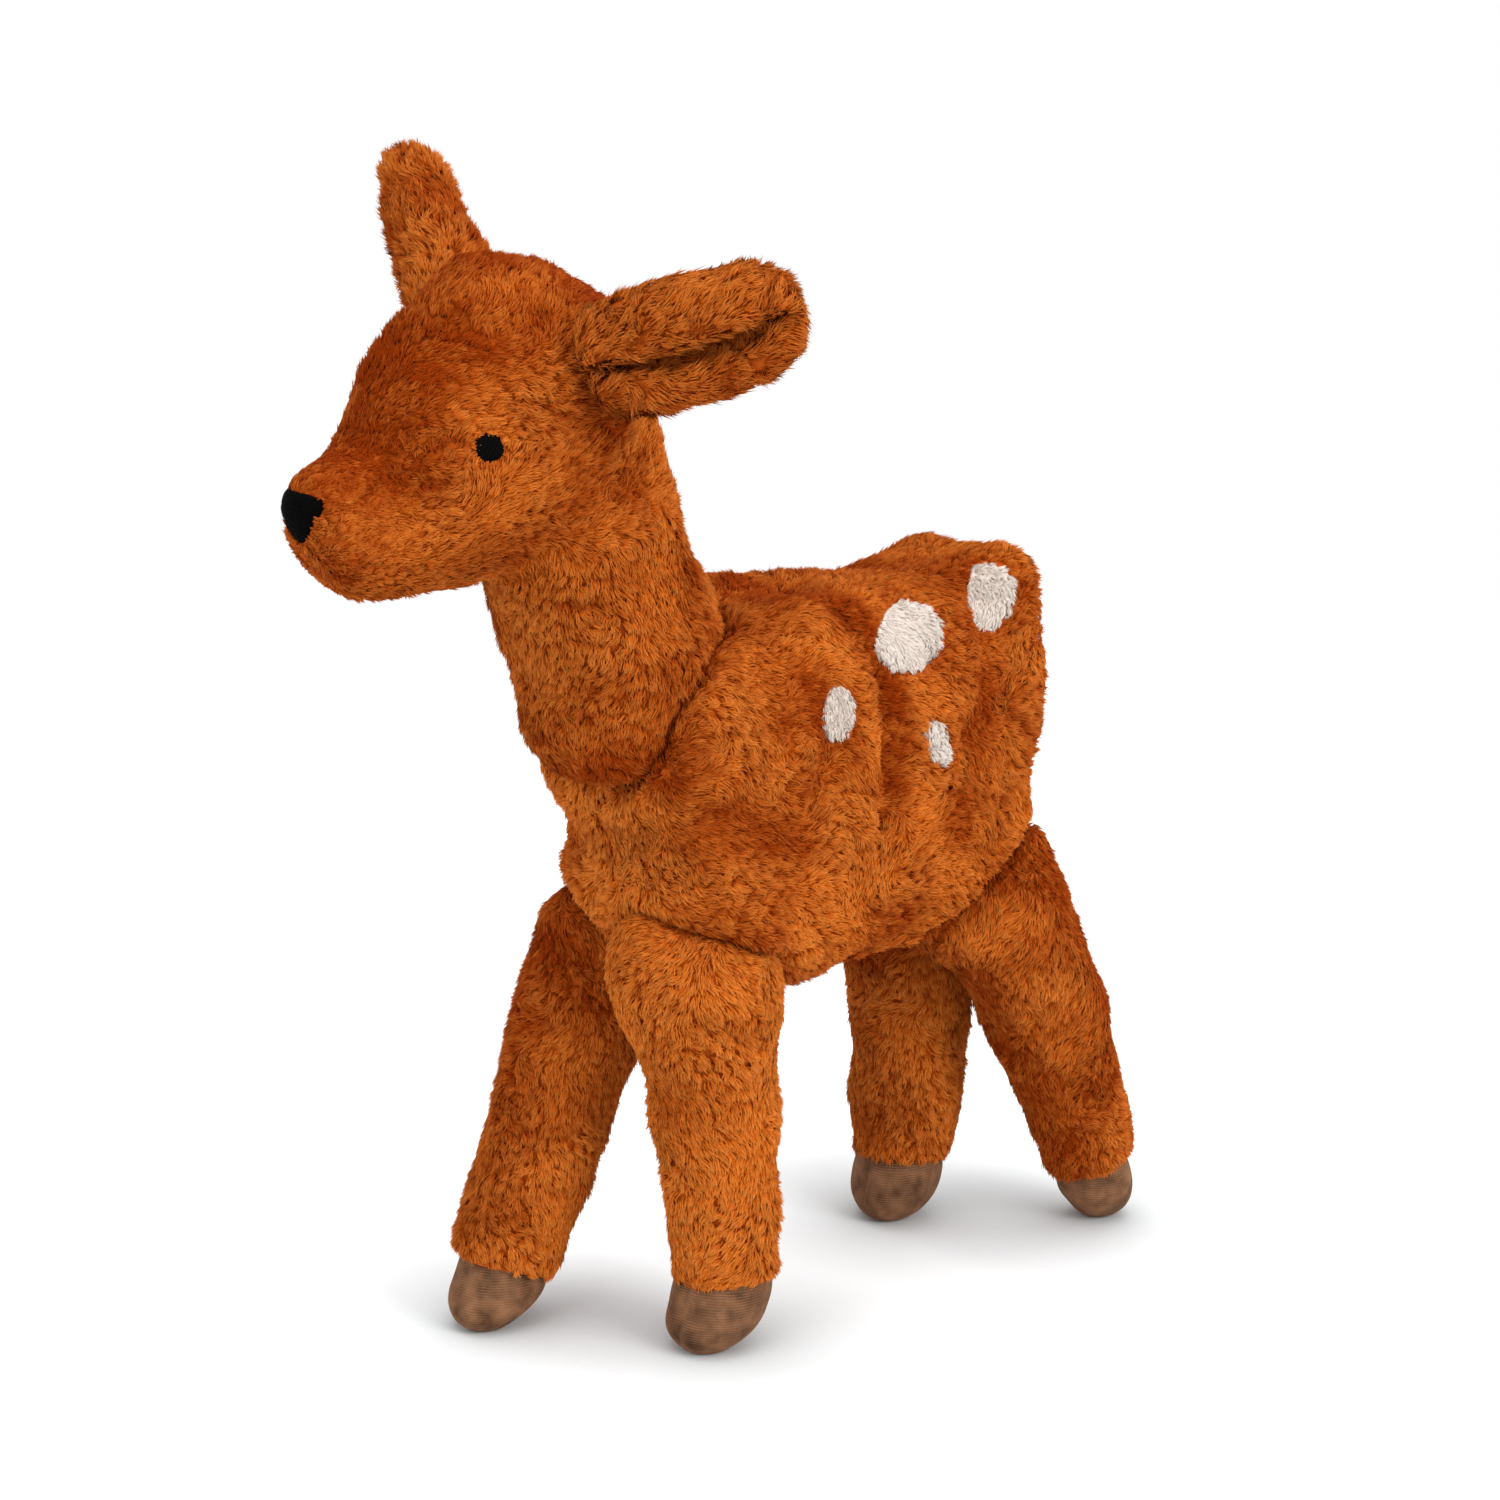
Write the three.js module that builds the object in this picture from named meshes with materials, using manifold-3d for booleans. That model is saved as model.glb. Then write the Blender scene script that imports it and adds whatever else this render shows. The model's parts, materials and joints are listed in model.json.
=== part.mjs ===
/**
 * A standing plush fawn that warms: a stuffed toy whose belly pocket holds a removable, seed-filled
 * heat pack. Millimetres, +Z up. The fawn faces -Y and its own left side is +X.
 *
 * Covers are thin shells with their stuffing inside, each a mesh of its own. A limb ends in a round
 * top that sits in a round seat of the trunk, centred on the joint, so it can swing there.
 */
import * as THREE from "three";
import { mergeVertices } from "three/addons/utils/BufferGeometryUtils.js";
import Module from "manifold-3d";

const wasm = await Module();
wasm.setup();

// Driving dimensions: fabric and fits
const CLOTH = 2.0;
const THIN_CLOTH = 1.0;
const SEAM_GAP = 0.3;
const PACK_CLEARANCE = 0.5;
const APPLIQUE = 0.9;
const TAPE = 0.8;

// Driving dimensions: trunk
const TRUNK = {
  front: -81, rear: 77, belly: 116, back: 239, halfWidth: 45, square: 3, chest: 25, rump: 11,
};

// Driving dimensions: hips and legs
const HIP_SIDE = 26;
const HIP_HEIGHT = 121;
const FRONT_HIP = { along: -63, top: 24, knee: 20, ankle: 16 };
const HIND_HIP = { along: 64, top: 24, knee: 18.5, ankle: 13.5 };
const HOOF = { height: 25, toe: 4, follow: 0.6, sole: 0.6 };
const LEGS = [
  { name: "front_left_leg", side: 1, hip: FRONT_HIP, foot: { side: 27, along: -59 } },
  { name: "front_right_leg", side: -1, hip: FRONT_HIP, foot: { side: -32, along: -101 } },
  { name: "hind_left_leg", side: 1, hip: HIND_HIP, foot: { side: 27, along: 109 } },
  { name: "hind_right_leg", side: -1, hip: HIND_HIP, foot: { side: -21, along: 62 } },
];

// Driving dimensions: neck, head and ears
const NECK = {
  along: -74, height: 221, seat: 36, waist: 33, topAlong: -102, topHeight: 291, topAcross: 30, topDeep: 36,
};
const HEAD = {
  stations: [
    { along: -88, height: 317, across: 27, deep: 32 },
    { along: -113, height: 312, across: 34, deep: 46 },
    { along: -141, height: 299, across: 30, deep: 42 },
    { along: -166, height: 287, across: 22, deep: 27 },
    { along: -188, height: 283.5, across: 15, deep: 16 },
  ],
  crown: 14,
  muzzle: 9,
};
const EYE = { along: -148, height: 306, radius: 4.6 };
const NOSE = { halfWidth: 10, top: 299, tip: 282, behind: -180, round: 3 };
const EAR = {
  side: 35, along: -112, height: 332, root: 10, length: 70, halfWidth: 21, halfThick: 12,
  slitWidth: 2.5, slitDepth: 12, slitFrom: 0.35,
};
const EARS = [
  { name: "ear_left", side: 1, lean: [0.86, 0.43, 0.25] },
  { name: "ear_right", side: -1, lean: [-0.79, 0.32, 0.54] },
];

// Driving dimensions: tail and spots
const TAIL = { height: 207, out: 3, root: 5, length: 34, halfWidth: 10, halfThick: 4, away: 5 };
const SPOTS = [
  { name: "shoulder_spot", along: -23, height: 208, halfLength: 5.5, halfHeight: 10, tilt: 15 },
  { name: "saddle_spot", along: 12, height: 223, halfLength: 11.5, halfHeight: 13, tilt: 0 },
  { name: "rump_spot", along: 51, height: 225, halfLength: 8.5, halfHeight: 11.5, tilt: -12 },
  { name: "flank_spot", along: 17, height: 191, halfLength: 5, halfHeight: 8.5, tilt: 5 },
];

// Driving dimensions: belly pocket, its pack and its flap
const PACK = { width: 69, height: 90, thickness: 28, bottom: 136 };
const RECESS = { ceiling: 121, length: 75, halfWidth: 25 };
const FLAP = { thickness: 1.8, length: 73, edge: 1.0, root: 2.0 };
const TAPE_WIDTH = 6;

// Facets round a seat, and how far their middles cut inside its true radius
const SEAT_SIDES = 20;
const FACET_SHRINK = Math.cos(Math.PI / SEAT_SIDES) ** 2;
const RIM = 3;

// How far a facet may move when slivers left by the cuts are cleaned away
const TIDY = 0.08;

// How far the fawn is moved along Y, so that the origin is under the middle of its whole length
const MIDDLE_SHIFT = 38;

const FINISHES = {
  fur: { color: 0xa4501c, roughness: 0.95, metalness: 0 },
  velour: { color: 0x80583c, roughness: 0.9, metalness: 0 },
  white: { color: 0xe9d5c7, roughness: 0.95, metalness: 0 },
  black: { color: 0x16100c, roughness: 0.75, metalness: 0 },
  lining: { color: 0xd9cdb8, roughness: 0.9, metalness: 0 },
  stuffing: { color: 0xf3f1ea, roughness: 1, metalness: 0 },
  seed: { color: 0xb08a55, roughness: 0.8, metalness: 0 },
};

const fawn = new THREE.Group();
fawn.name = "fawn_warmer";
fawn.position.y = MIDDLE_SHIFT;

/** Turn a closed geometry into a Manifold solid. */
function toSolid(geometry) {
  geometry.deleteAttribute("normal");
  geometry.deleteAttribute("uv");
  const welded = mergeVertices(geometry, 1e-4);
  return new wasm.Manifold(
    new wasm.Mesh({
      numProp: 3,
      vertProperties: new Float32Array(welded.attributes.position.array),
      triVerts: new Uint32Array(welded.index.array),
    }),
  );
}

/** Add a solid to the fawn as a named mesh. */
function addPiece(name, solid, finish) {
  const { vertProperties, triVerts } = solid.simplify(TIDY).getMesh();
  const geometry = new THREE.BufferGeometry();
  geometry.setAttribute("position", new THREE.Float32BufferAttribute(vertProperties, 3));
  geometry.setIndex(new THREE.Uint32BufferAttribute(triVerts, 1));
  geometry.computeVertexNormals();
  const mesh = new THREE.Mesh(geometry, new THREE.MeshStandardMaterial(FINISHES[finish]));
  mesh.name = name;
  fawn.add(mesh);
}

/** A value between two others. */
const between = (from, to, share) => from + (to - from) * share;

/** A point between two points given as lists. */
const pointBetween = (from, to, share) => from.map((value, i) => between(value, to[i], share));

/** One ring of a form: an oval, squarer as `square` rises above 2. */
function ringPoints(centre, sideways, upright, across, deep, square, sides) {
  return Array.from({ length: sides }, (_, i) => {
    const turn = (2 * Math.PI * i) / sides;
    const squared = (value) => Math.sign(value) * Math.abs(value) ** (2 / square);
    return centre
      .clone()
      .addScaledVector(sideways, across * squared(Math.cos(turn)))
      .addScaledVector(upright, deep * squared(Math.sin(turn)));
  });
}

/** Skin a list of rings, closed by a point at each end, as a solid. */
function skinRings(first, rings, last) {
  const sides = rings[0].length;
  const points = [first, ...rings.flat(), last];
  const faces = [];
  const end = points.length - 1;
  for (let i = 0; i < sides; i++) {
    const next = (i + 1) % sides;
    faces.push(0, 1 + next, 1 + i);
    faces.push(end, end - sides + i, end - sides + next);
    for (let ring = 0; ring + 1 < rings.length; ring++) {
      const near = 1 + ring * sides;
      const far = near + sides;
      faces.push(near + i, near + next, far + next, near + i, far + next, far + i);
    }
  }
  const geometry = new THREE.BufferGeometry().setFromPoints(points);
  geometry.setIndex(faces);
  const solid = toSolid(geometry);
  if (solid.volume() > 0) return solid;
  geometry.setIndex(faces.reverse());
  return toSolid(geometry);
}

/**
 * A stuffed form: rings that swell and taper along a spine, with a dome at each end.
 * `grow` moves the whole surface out, or in where it is negative.
 */
function stuffedForm({ stations, sideways = [1, 0, 0], square = 2, steps, sides, domes }, grow = 0) {
  const spine = new THREE.CatmullRomCurve3(stations.map(({ at }) => new THREE.Vector3(...at)));
  const sizes = new THREE.CatmullRomCurve3(
    stations.map(({ across, deep }) => new THREE.Vector3(across, deep, 0)),
  );
  const side = new THREE.Vector3(...sideways).normalize();
  const domeSteps = 3;
  const pointAt = (share, shift) =>
    spine.getPoint(share).addScaledVector(spine.getTangent(share), shift);
  const ringAt = (share, scale, shift) => {
    const along = spine.getTangent(share);
    const size = sizes.getPoint(share);
    const lateral = side.clone().addScaledVector(along, -side.dot(along)).normalize();
    const upright = new THREE.Vector3().crossVectors(along, lateral);
    const across = (size.x + grow) * scale;
    const deep = (size.y + grow) * scale;
    return ringPoints(pointAt(share, shift), lateral, upright, across, deep, square, sides);
  };
  const rings = [];
  for (let i = 1; i < domeSteps; i++) {
    const turn = (i / domeSteps) * (Math.PI / 2);
    const scale = Math.sin(turn) ** (2 / square);
    rings.push(ringAt(0, scale, -(domes[0] + grow) * Math.cos(turn) ** (2 / square)));
  }
  for (let i = 0; i <= steps; i++) rings.push(ringAt(i / steps, 1, 0));
  for (let i = domeSteps - 1; i > 0; i--) {
    const turn = (i / domeSteps) * (Math.PI / 2);
    const scale = Math.sin(turn) ** (2 / square);
    rings.push(ringAt(1, scale, (domes[1] + grow) * Math.cos(turn) ** (2 / square)));
  }
  return skinRings(pointAt(0, -(domes[0] + grow)), rings, pointAt(1, domes[1] + grow));
}

/** The round seat that a form's domed end of that radius turns in, clear of it at every angle. */
function seatFor([x, y, z], radius) {
  const reach = (radius + SEAM_GAP) / FACET_SHRINK;
  const sphere = new THREE.SphereGeometry(reach, SEAT_SIDES, SEAT_SIDES / 2).rotateZ(Math.PI / 2);
  return toSolid(sphere.translate(x, y, z));
}

/** A box between two corners. */
function box(low, high) {
  const size = high.map((value, i) => value - low[i]);
  return toSolid(new THREE.BoxGeometry(...size).translate(...pointBetween(low, high, 0.5)));
}

/** Keep what lies above one height, or below another. */
const keepAbove = (solid, height) => solid.trimByPlane([0, 0, 1], height);
const keepBelow = (solid, height) => solid.trimByPlane([0, 0, -1], -height);

/** An oval prism along X, from one side distance to another, that stamps trim out of a skin. */
function ovalStamp({ along, height, halfLength, halfHeight, tilt }, from, to) {
  const oval = new THREE.CylinderGeometry(1, 1, Math.abs(to - from), 12)
    .rotateZ(Math.PI / 2)
    .scale(1, halfLength, halfHeight)
    .rotateX(THREE.MathUtils.degToRad(tilt))
    .translate(between(from, to, 0.5), along, height);
  return toSolid(oval);
}

// Trunk form
const trunkMiddle = (TRUNK.belly + TRUNK.back) / 2;
const trunkHalf = (TRUNK.back - TRUNK.belly) / 2;
const trunkForm = {
  stations: [
    { along: TRUNK.front + TRUNK.chest, lift: 2, width: 0.86, depth: 0.84 },
    { along: between(TRUNK.front, TRUNK.rear, 0.34), lift: -1, width: 0.97, depth: 0.96 },
    { along: between(TRUNK.front, TRUNK.rear, 0.64), lift: 0, width: 1, depth: 0.99 },
    { along: TRUNK.rear - TRUNK.rump, lift: 0.5, width: 0.84, depth: 0.98 },
  ].map(({ along, lift, width, depth }) => ({
    at: [0, along, trunkMiddle + lift],
    across: width * TRUNK.halfWidth,
    deep: depth * trunkHalf,
  })),
  square: TRUNK.square,
  steps: 5,
  sides: 20,
  domes: [TRUNK.chest, TRUNK.rump],
};
const trunkWhole = (grow) => stuffedForm(trunkForm, grow);

const neckPivot = [0, NECK.along, NECK.height];
const hipPivot = ({ side, hip }) => [side * HIP_SIDE, hip.along, HIP_HEIGHT];
const tailPivot = [0, TRUNK.rear + TAIL.out, TAIL.height];
const earPivot = ({ side }) => [side * EAR.side, EAR.along, EAR.height];

/** The round seats that the legs, the neck and the tail sit in. */
function trunkSeats() {
  const hips = LEGS.map((leg) => seatFor(hipPivot(leg), leg.hip.top));
  return wasm.Manifold.union([
    ...hips,
    seatFor(neckPivot, NECK.seat),
    seatFor(tailPivot, TAIL.root),
  ]);
}

/** A pillow that is oval in plan, upright, and either straight or drawn in at its ends. */
function pillow(halfWidth, halfThick, low, high, drawnIn) {
  const steps = drawnIn ? 5 : 1;
  const rings = Array.from({ length: steps + 1 }, (_, i) => {
    const swell = drawnIn ? Math.sin((Math.PI * (i + 0.3)) / (steps + 0.6)) ** 0.6 : 1;
    return ringPoints(
      new THREE.Vector3(0, 0, between(low, high, i / steps)),
      new THREE.Vector3(0, 1, 0),
      new THREE.Vector3(-1, 0, 0),
      halfWidth * between(1, swell, 0.25),
      halfThick * swell,
      2,
      16,
    );
  });
  return skinRings(new THREE.Vector3(0, 0, low), rings, new THREE.Vector3(0, 0, high));
}

/** The pocket: a cloth bag in the stuffing, open at the mouth, with room for the pack. */
function addPocket() {
  const packTop = PACK.bottom + PACK.height;
  const upright = (margin, low) =>
    pillow(PACK.width / 2 + margin, PACK.thickness / 2 + margin, low, packTop + margin, false);
  const bagLow = RECESS.ceiling + CLOTH + SEAM_GAP;
  const room = upright(PACK_CLEARANCE, RECESS.ceiling - RIM);
  const bag = upright(PACK_CLEARANCE + THIN_CLOTH, bagLow);
  const hole = upright(PACK_CLEARANCE + THIN_CLOTH + SEAM_GAP, RECESS.ceiling - RIM);
  addPiece("pocket_lining", bag.subtract(room), "lining");
  return { room, hole };
}

/** The pack: two cloth panels sewn at the rim, round a filling of seeds. */
function addPack() {
  const shape = (inset) =>
    pillow(
      PACK.width / 2 - inset,
      PACK.thickness / 2 - inset,
      PACK.bottom + inset,
      PACK.bottom + PACK.height - inset,
      true,
    );
  const skin = shape(0).subtract(shape(THIN_CLOTH));
  addPiece("pack_panel_left", skin.trimByPlane([1, 0, 0], SEAM_GAP / 2), "lining");
  addPiece("pack_panel_right", skin.trimByPlane([-1, 0, 0], SEAM_GAP / 2), "lining");
  addPiece("pack_seed_filling", shape(THIN_CLOTH + SEAM_GAP), "seed");
}

/** The trunk's cover and stuffing, with the seats, the pocket and the flap's recess. */
function addTrunk({ room, hole }) {
  const seats = trunkSeats();
  const recessTo = (height, margin) => {
    const half = [RECESS.halfWidth + margin, RECESS.length / 2 + margin];
    return box([-half[0], -half[1], 0], [half[0], half[1], height]);
  };
  const outer = trunkWhole(0).subtract(recessTo(RECESS.ceiling, 0));
  const inner = trunkWhole(-CLOTH).subtract(recessTo(RECESS.ceiling + CLOTH, CLOTH));
  const filling = trunkWhole(-CLOTH - SEAM_GAP).subtract(
    recessTo(RECESS.ceiling + CLOTH + SEAM_GAP, CLOTH + SEAM_GAP),
  );
  addPiece("torso_cover", outer.subtract(inner).subtract(room).subtract(seats), "fur");
  addPiece("torso_stuffing", filling.subtract(hole).subtract(seats), "stuffing");
}

/** The flap over the pocket's mouth, with its hook tape, and the loop tape it closes on. */
function addFlap() {
  const half = FLAP.length / 2;
  const edge = RECESS.halfWidth - FLAP.edge;
  const under = RECESS.ceiling - SEAM_GAP;
  const loopLow = under - TAPE;
  const hookLow = loopLow - SEAM_GAP - TAPE;
  const top = hookLow - SEAM_GAP;
  const hingeSide = edge - FLAP.root;
  const sheet = box([-edge, -half, top - FLAP.thickness], [hingeSide, half, top]);
  const root = toSolid(
    new THREE.CylinderGeometry(FLAP.root, FLAP.root, FLAP.length, 12).translate(
      hingeSide,
      0,
      under - FLAP.root,
    ),
  );
  const tape = (low) => box([-edge, -half, low], [-edge + TAPE_WIDTH, half, low + TAPE]);
  addPiece("belly_flap", sheet.add(root), "fur");
  addPiece("flap_hook_tape", tape(hookLow), "lining");
  addPiece("slot_loop_tape", tape(loopLow), "lining");
}

/** One leg: its cover, its stuffing, and the velour hoof that it stands on. */
function addLeg(leg) {
  const { hip, foot, name } = leg;
  const pivot = hipPivot(leg);
  const ankle = [foot.side, foot.along, HOOF.height];
  const shank = (share, radius) => ({
    at: pointBetween(pivot, ankle, share),
    across: radius,
    deep: radius,
  });
  const legForm = {
    stations: [
      shank(0, hip.top),
      shank(0.2, between(hip.top, hip.knee, 0.55)),
      shank(0.5, hip.knee),
      shank(1, hip.ankle),
    ],
    steps: 5,
    sides: 14,
    domes: [hip.top, RIM],
  };
  const sole = hip.ankle * HOOF.sole;
  const lean = (foot.along - hip.along) / (HIP_HEIGHT - HOOF.height);
  const soleShift = HOOF.follow * lean * HOOF.height - HOOF.toe;
  const hoofRing = (height, share) => ({
    at: [foot.side, foot.along + soleShift * share, height],
    across: between(hip.ankle, sole, share),
    deep: between(hip.ankle, sole, share),
  });
  const hoofForm = {
    stations: [
      hoofRing(HOOF.height + RIM, 0),
      hoofRing(HOOF.height * 0.7, 0.08),
      hoofRing(HOOF.height * 0.3, 0.5),
      hoofRing(HOOF.height * 0.04, 1),
    ],
    steps: 3,
    sides: 14,
    domes: [2, 3],
  };
  const limb = (grow) => stuffedForm(legForm, grow);
  const boot = (grow) => keepAbove(stuffedForm(hoofForm, grow), -grow);
  const bootFilling = keepBelow(boot(-CLOTH - SEAM_GAP), HOOF.height + SEAM_GAP);
  const limbFilling = keepAbove(limb(-CLOTH - SEAM_GAP), HOOF.height);
  const cover = keepAbove(limb(0), HOOF.height + SEAM_GAP).subtract(limb(-CLOTH));
  addPiece(`${name}_cover`, cover, "fur");
  addPiece(`${name}_stuffing`, limbFilling.add(bootFilling), "stuffing");
  addPiece(`${name}_hoof`, keepBelow(boot(0), HOOF.height).subtract(boot(-CLOTH)), "velour");
}

// Head and neck forms
const headForm = {
  stations: HEAD.stations.map(({ along, height, across, deep }) => ({
    at: [0, along, height],
    across,
    deep,
  })),
  steps: 6,
  sides: 18,
  domes: [HEAD.crown, HEAD.muzzle],
};
const headWhole = (grow) => stuffedForm(headForm, grow);
const neckStation = (share, across, deep) => ({
  at: pointBetween(neckPivot, [0, NECK.topAlong, NECK.topHeight], share),
  across,
  deep,
});
const neckForm = {
  stations: [
    neckStation(0, NECK.seat, NECK.seat),
    neckStation(0.2, NECK.waist, NECK.waist),
    neckStation(
      0.5,
      between(NECK.waist, NECK.topAcross, 0.5),
      between(NECK.waist, NECK.topDeep, 0.3),
    ),
    neckStation(1, NECK.topAcross, NECK.topDeep),
  ],
  steps: 5,
  sides: 18,
  domes: [NECK.seat, RIM],
};
const neckWhole = (grow) => stuffedForm(neckForm, grow);

/** The neck's tube, and the head's cover and stuffing, with seats for the ears. */
function addHead() {
  const seats = wasm.Manifold.union(EARS.map((ear) => seatFor(earPivot(ear), EAR.root)));
  const neckRoom = neckWhole(-CLOTH);
  const cover = headWhole(0).subtract(headWhole(-CLOTH)).subtract(neckRoom);
  const filling = headWhole(-CLOTH - SEAM_GAP).add(neckWhole(-CLOTH - SEAM_GAP));
  addPiece("neck_cover", neckWhole(0).subtract(neckRoom).subtract(headWhole(SEAM_GAP)), "fur");
  addPiece("head_cover", cover.subtract(seats), "fur");
  addPiece("head_stuffing", filling.subtract(seats), "stuffing");
}

/** An ear: a leaf of plush folded lengthwise, so that a slit runs along its front, on a round root. */
function addEar(ear) {
  const pivot = new THREE.Vector3(...earPivot(ear));
  const lean = new THREE.Vector3(...ear.lean).normalize();
  const upright = new THREE.Vector3(0, 0, 1).addScaledVector(lean, -lean.z).normalize();
  const forward = new THREE.Vector3().crossVectors(lean, upright).multiplyScalar(ear.side);
  const leaf = (share, across, deep) => ({
    at: pivot.clone().addScaledVector(lean, share * EAR.length).toArray(),
    across,
    deep,
  });
  const leafForm = {
    stations: [
      leaf(0, EAR.root, EAR.root),
      leaf(0.3, EAR.halfWidth * 0.9, EAR.halfThick),
      leaf(0.6, EAR.halfWidth, EAR.halfThick),
      leaf(0.9, EAR.halfWidth * 0.7, EAR.halfThick * 0.6),
    ],
    sideways: upright.toArray(),
    steps: 5,
    sides: 14,
    domes: [EAR.root, EAR.length * 0.1],
  };
  const middle = pivot
    .clone()
    .addScaledVector(lean, EAR.length * between(EAR.slitFrom, 1, 0.4))
    .addScaledVector(forward, EAR.halfThick);
  const slitLength = EAR.length * (1 - EAR.slitFrom) * 0.8;
  const slit = new THREE.BoxGeometry(slitLength, EAR.slitDepth, EAR.slitWidth);
  const across = new THREE.Vector3().crossVectors(upright, lean);
  slit.applyMatrix4(new THREE.Matrix4().makeBasis(lean, across, upright).setPosition(middle));
  addPiece(ear.name, stuffedForm(leafForm).subtract(toSolid(slit)), "fur");
}

/** The stitched eyes and the felt nose, which lie on the head's cover. */
function addFace() {
  const skin = headWhole(SEAM_GAP + APPLIQUE).subtract(headWhole(SEAM_GAP));
  const eye = { ...EYE, halfLength: EYE.radius, halfHeight: EYE.radius, tilt: 0 };
  addPiece("eye_left", skin.intersect(ovalStamp(eye, 0, 60)), "black");
  addPiece("eye_right", skin.intersect(ovalStamp(eye, 0, -60)), "black");
  const { halfWidth, top, tip, round } = NOSE;
  const cheek = between(tip, top, 0.4);
  const outline = new THREE.Shape();
  outline.moveTo(0, tip);
  outline.quadraticCurveTo(halfWidth, cheek, halfWidth, top - round);
  outline.quadraticCurveTo(halfWidth, top, halfWidth - round, top);
  outline.lineTo(round - halfWidth, top);
  outline.quadraticCurveTo(-halfWidth, top, -halfWidth, top - round);
  outline.quadraticCurveTo(-halfWidth, cheek, 0, tip);
  const cut = { depth: 40, bevelEnabled: false, curveSegments: 4 };
  const prism = new THREE.ExtrudeGeometry(outline, cut)
    .rotateX(Math.PI / 2)
    .translate(0, NOSE.behind, 0);
  addPiece("nose", skin.intersect(toSolid(prism)), "black");
}

/** The tail: a flat plush tongue on a round root, hanging down the rump. */
function addTail() {
  const [x, y, z] = tailPivot;
  const tongue = (share, across, deep) => ({
    at: [x, y + TAIL.away * share ** 0.5, z - TAIL.length * share],
    across,
    deep,
  });
  const tailForm = {
    stations: [
      tongue(0, TAIL.root, TAIL.root),
      tongue(0.45, TAIL.halfWidth, TAIL.halfThick),
      tongue(0.85, TAIL.halfWidth * 0.7, TAIL.halfThick * 0.7),
    ],
    steps: 3,
    sides: 12,
    domes: [TAIL.root, TAIL.length * 0.15],
  };
  const clear = trunkWhole(SEAM_GAP).subtract(seatFor(tailPivot, TAIL.root));
  addPiece("tail", stuffedForm(tailForm).subtract(clear), "fur");
}

/** White plush spots, sewn on both flanks. */
function addSpots() {
  const skin = trunkWhole(SEAM_GAP + APPLIQUE).subtract(trunkWhole(SEAM_GAP));
  const near = TRUNK.halfWidth / 4;
  const far = TRUNK.halfWidth + CLOTH + APPLIQUE;
  for (const spot of SPOTS) {
    addPiece(`${spot.name}_left`, skin.intersect(ovalStamp(spot, near, far)), "white");
    addPiece(`${spot.name}_right`, skin.intersect(ovalStamp(spot, -near, -far)), "white");
  }
}

addTrunk(addPocket());
addPack();
addFlap();
LEGS.forEach(addLeg);
addHead();
EARS.forEach(addEar);
addFace();
addTail();
addSpots();

export default fawn;
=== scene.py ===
"""A standing plush fawn that warms, with a seed pack in its belly.

The covers are soft skins, lofted and then sculpted with seams and folds. A pile of bent tufts grows
on each of them, so the plush is real geometry. Lengths are millimetres until a mesh is made.
"""

import json
import logging
import math
import zlib
from dataclasses import dataclass
from enum import Enum
from functools import cache
from typing import Callable, Iterable, Sequence

import bpy
import numpy as np
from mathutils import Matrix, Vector
from mathutils.bvhtree import BVHTree
from mathutils.kdtree import KDTree

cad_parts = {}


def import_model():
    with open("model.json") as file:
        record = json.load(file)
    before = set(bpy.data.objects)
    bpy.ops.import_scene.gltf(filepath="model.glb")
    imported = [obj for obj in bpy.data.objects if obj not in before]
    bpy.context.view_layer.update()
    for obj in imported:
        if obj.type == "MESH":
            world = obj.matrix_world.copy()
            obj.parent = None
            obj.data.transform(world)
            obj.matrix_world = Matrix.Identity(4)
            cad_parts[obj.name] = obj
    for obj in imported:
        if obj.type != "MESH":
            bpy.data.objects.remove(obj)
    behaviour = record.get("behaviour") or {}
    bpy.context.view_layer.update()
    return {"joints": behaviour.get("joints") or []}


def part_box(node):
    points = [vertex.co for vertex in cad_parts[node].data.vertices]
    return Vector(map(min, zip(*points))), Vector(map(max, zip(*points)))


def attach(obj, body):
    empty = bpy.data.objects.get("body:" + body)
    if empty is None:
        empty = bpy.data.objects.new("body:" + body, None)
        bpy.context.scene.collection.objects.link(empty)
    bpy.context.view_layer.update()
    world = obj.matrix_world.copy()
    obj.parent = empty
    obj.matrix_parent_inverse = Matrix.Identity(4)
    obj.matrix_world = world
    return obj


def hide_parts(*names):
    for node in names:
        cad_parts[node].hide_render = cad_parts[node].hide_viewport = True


LOG = logging.getLogger("fawn")
MM = 0.001
# How far each skin lies inside its solid, so that the pile ends near the solid's face.
PILE_DEPTH = 1.0
# Where the pocket's middle is along the fawn.
POCKET_MIDDLE = 38.0
UP = np.array([0.0, 0.0, 1.0])
Array = np.ndarray
Place = tuple[float, float, float]
Colour = tuple[int, int, int]
Socket = bpy.types.NodeSocket
Field = Callable[[Array, Array], Array]


class Side(Enum):
    """The fawn's own left is +X."""

    LEFT = 1
    RIGHT = -1


class Slot(Enum):
    """The record's material slots."""

    PLUSH = "plush"
    STUFFING = "stuffing"
    VELOUR = "velour"
    WHITE = "white_plush"
    THREAD = "eye_thread"
    FELT = "nose_felt"
    LINING = "cotton_lining"
    PACK = "pack_cloth"
    SEED = "seed"
    TAPE = "closure_tape"


def node_box(node: str) -> tuple[Array, Array]:
    """The lowest and highest corners of a CAD node, in millimetres."""
    low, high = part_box(node)
    return np.array(low) / MM, np.array(high) / MM


def unit(vectors: Array) -> Array:
    """Vectors scaled to length one, along the last axis."""
    return vectors / np.maximum(np.linalg.norm(vectors, axis=-1, keepdims=True), 1e-9)


def times(vectors: Array, amounts: Array) -> Array:
    """Each row of vectors, scaled by its own amount."""
    return vectors * amounts[:, None]


def around(count: int) -> Array:
    """Even steps once round a circle, in radians."""
    return np.linspace(0, 2 * math.pi, count, endpoint=False)


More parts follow.
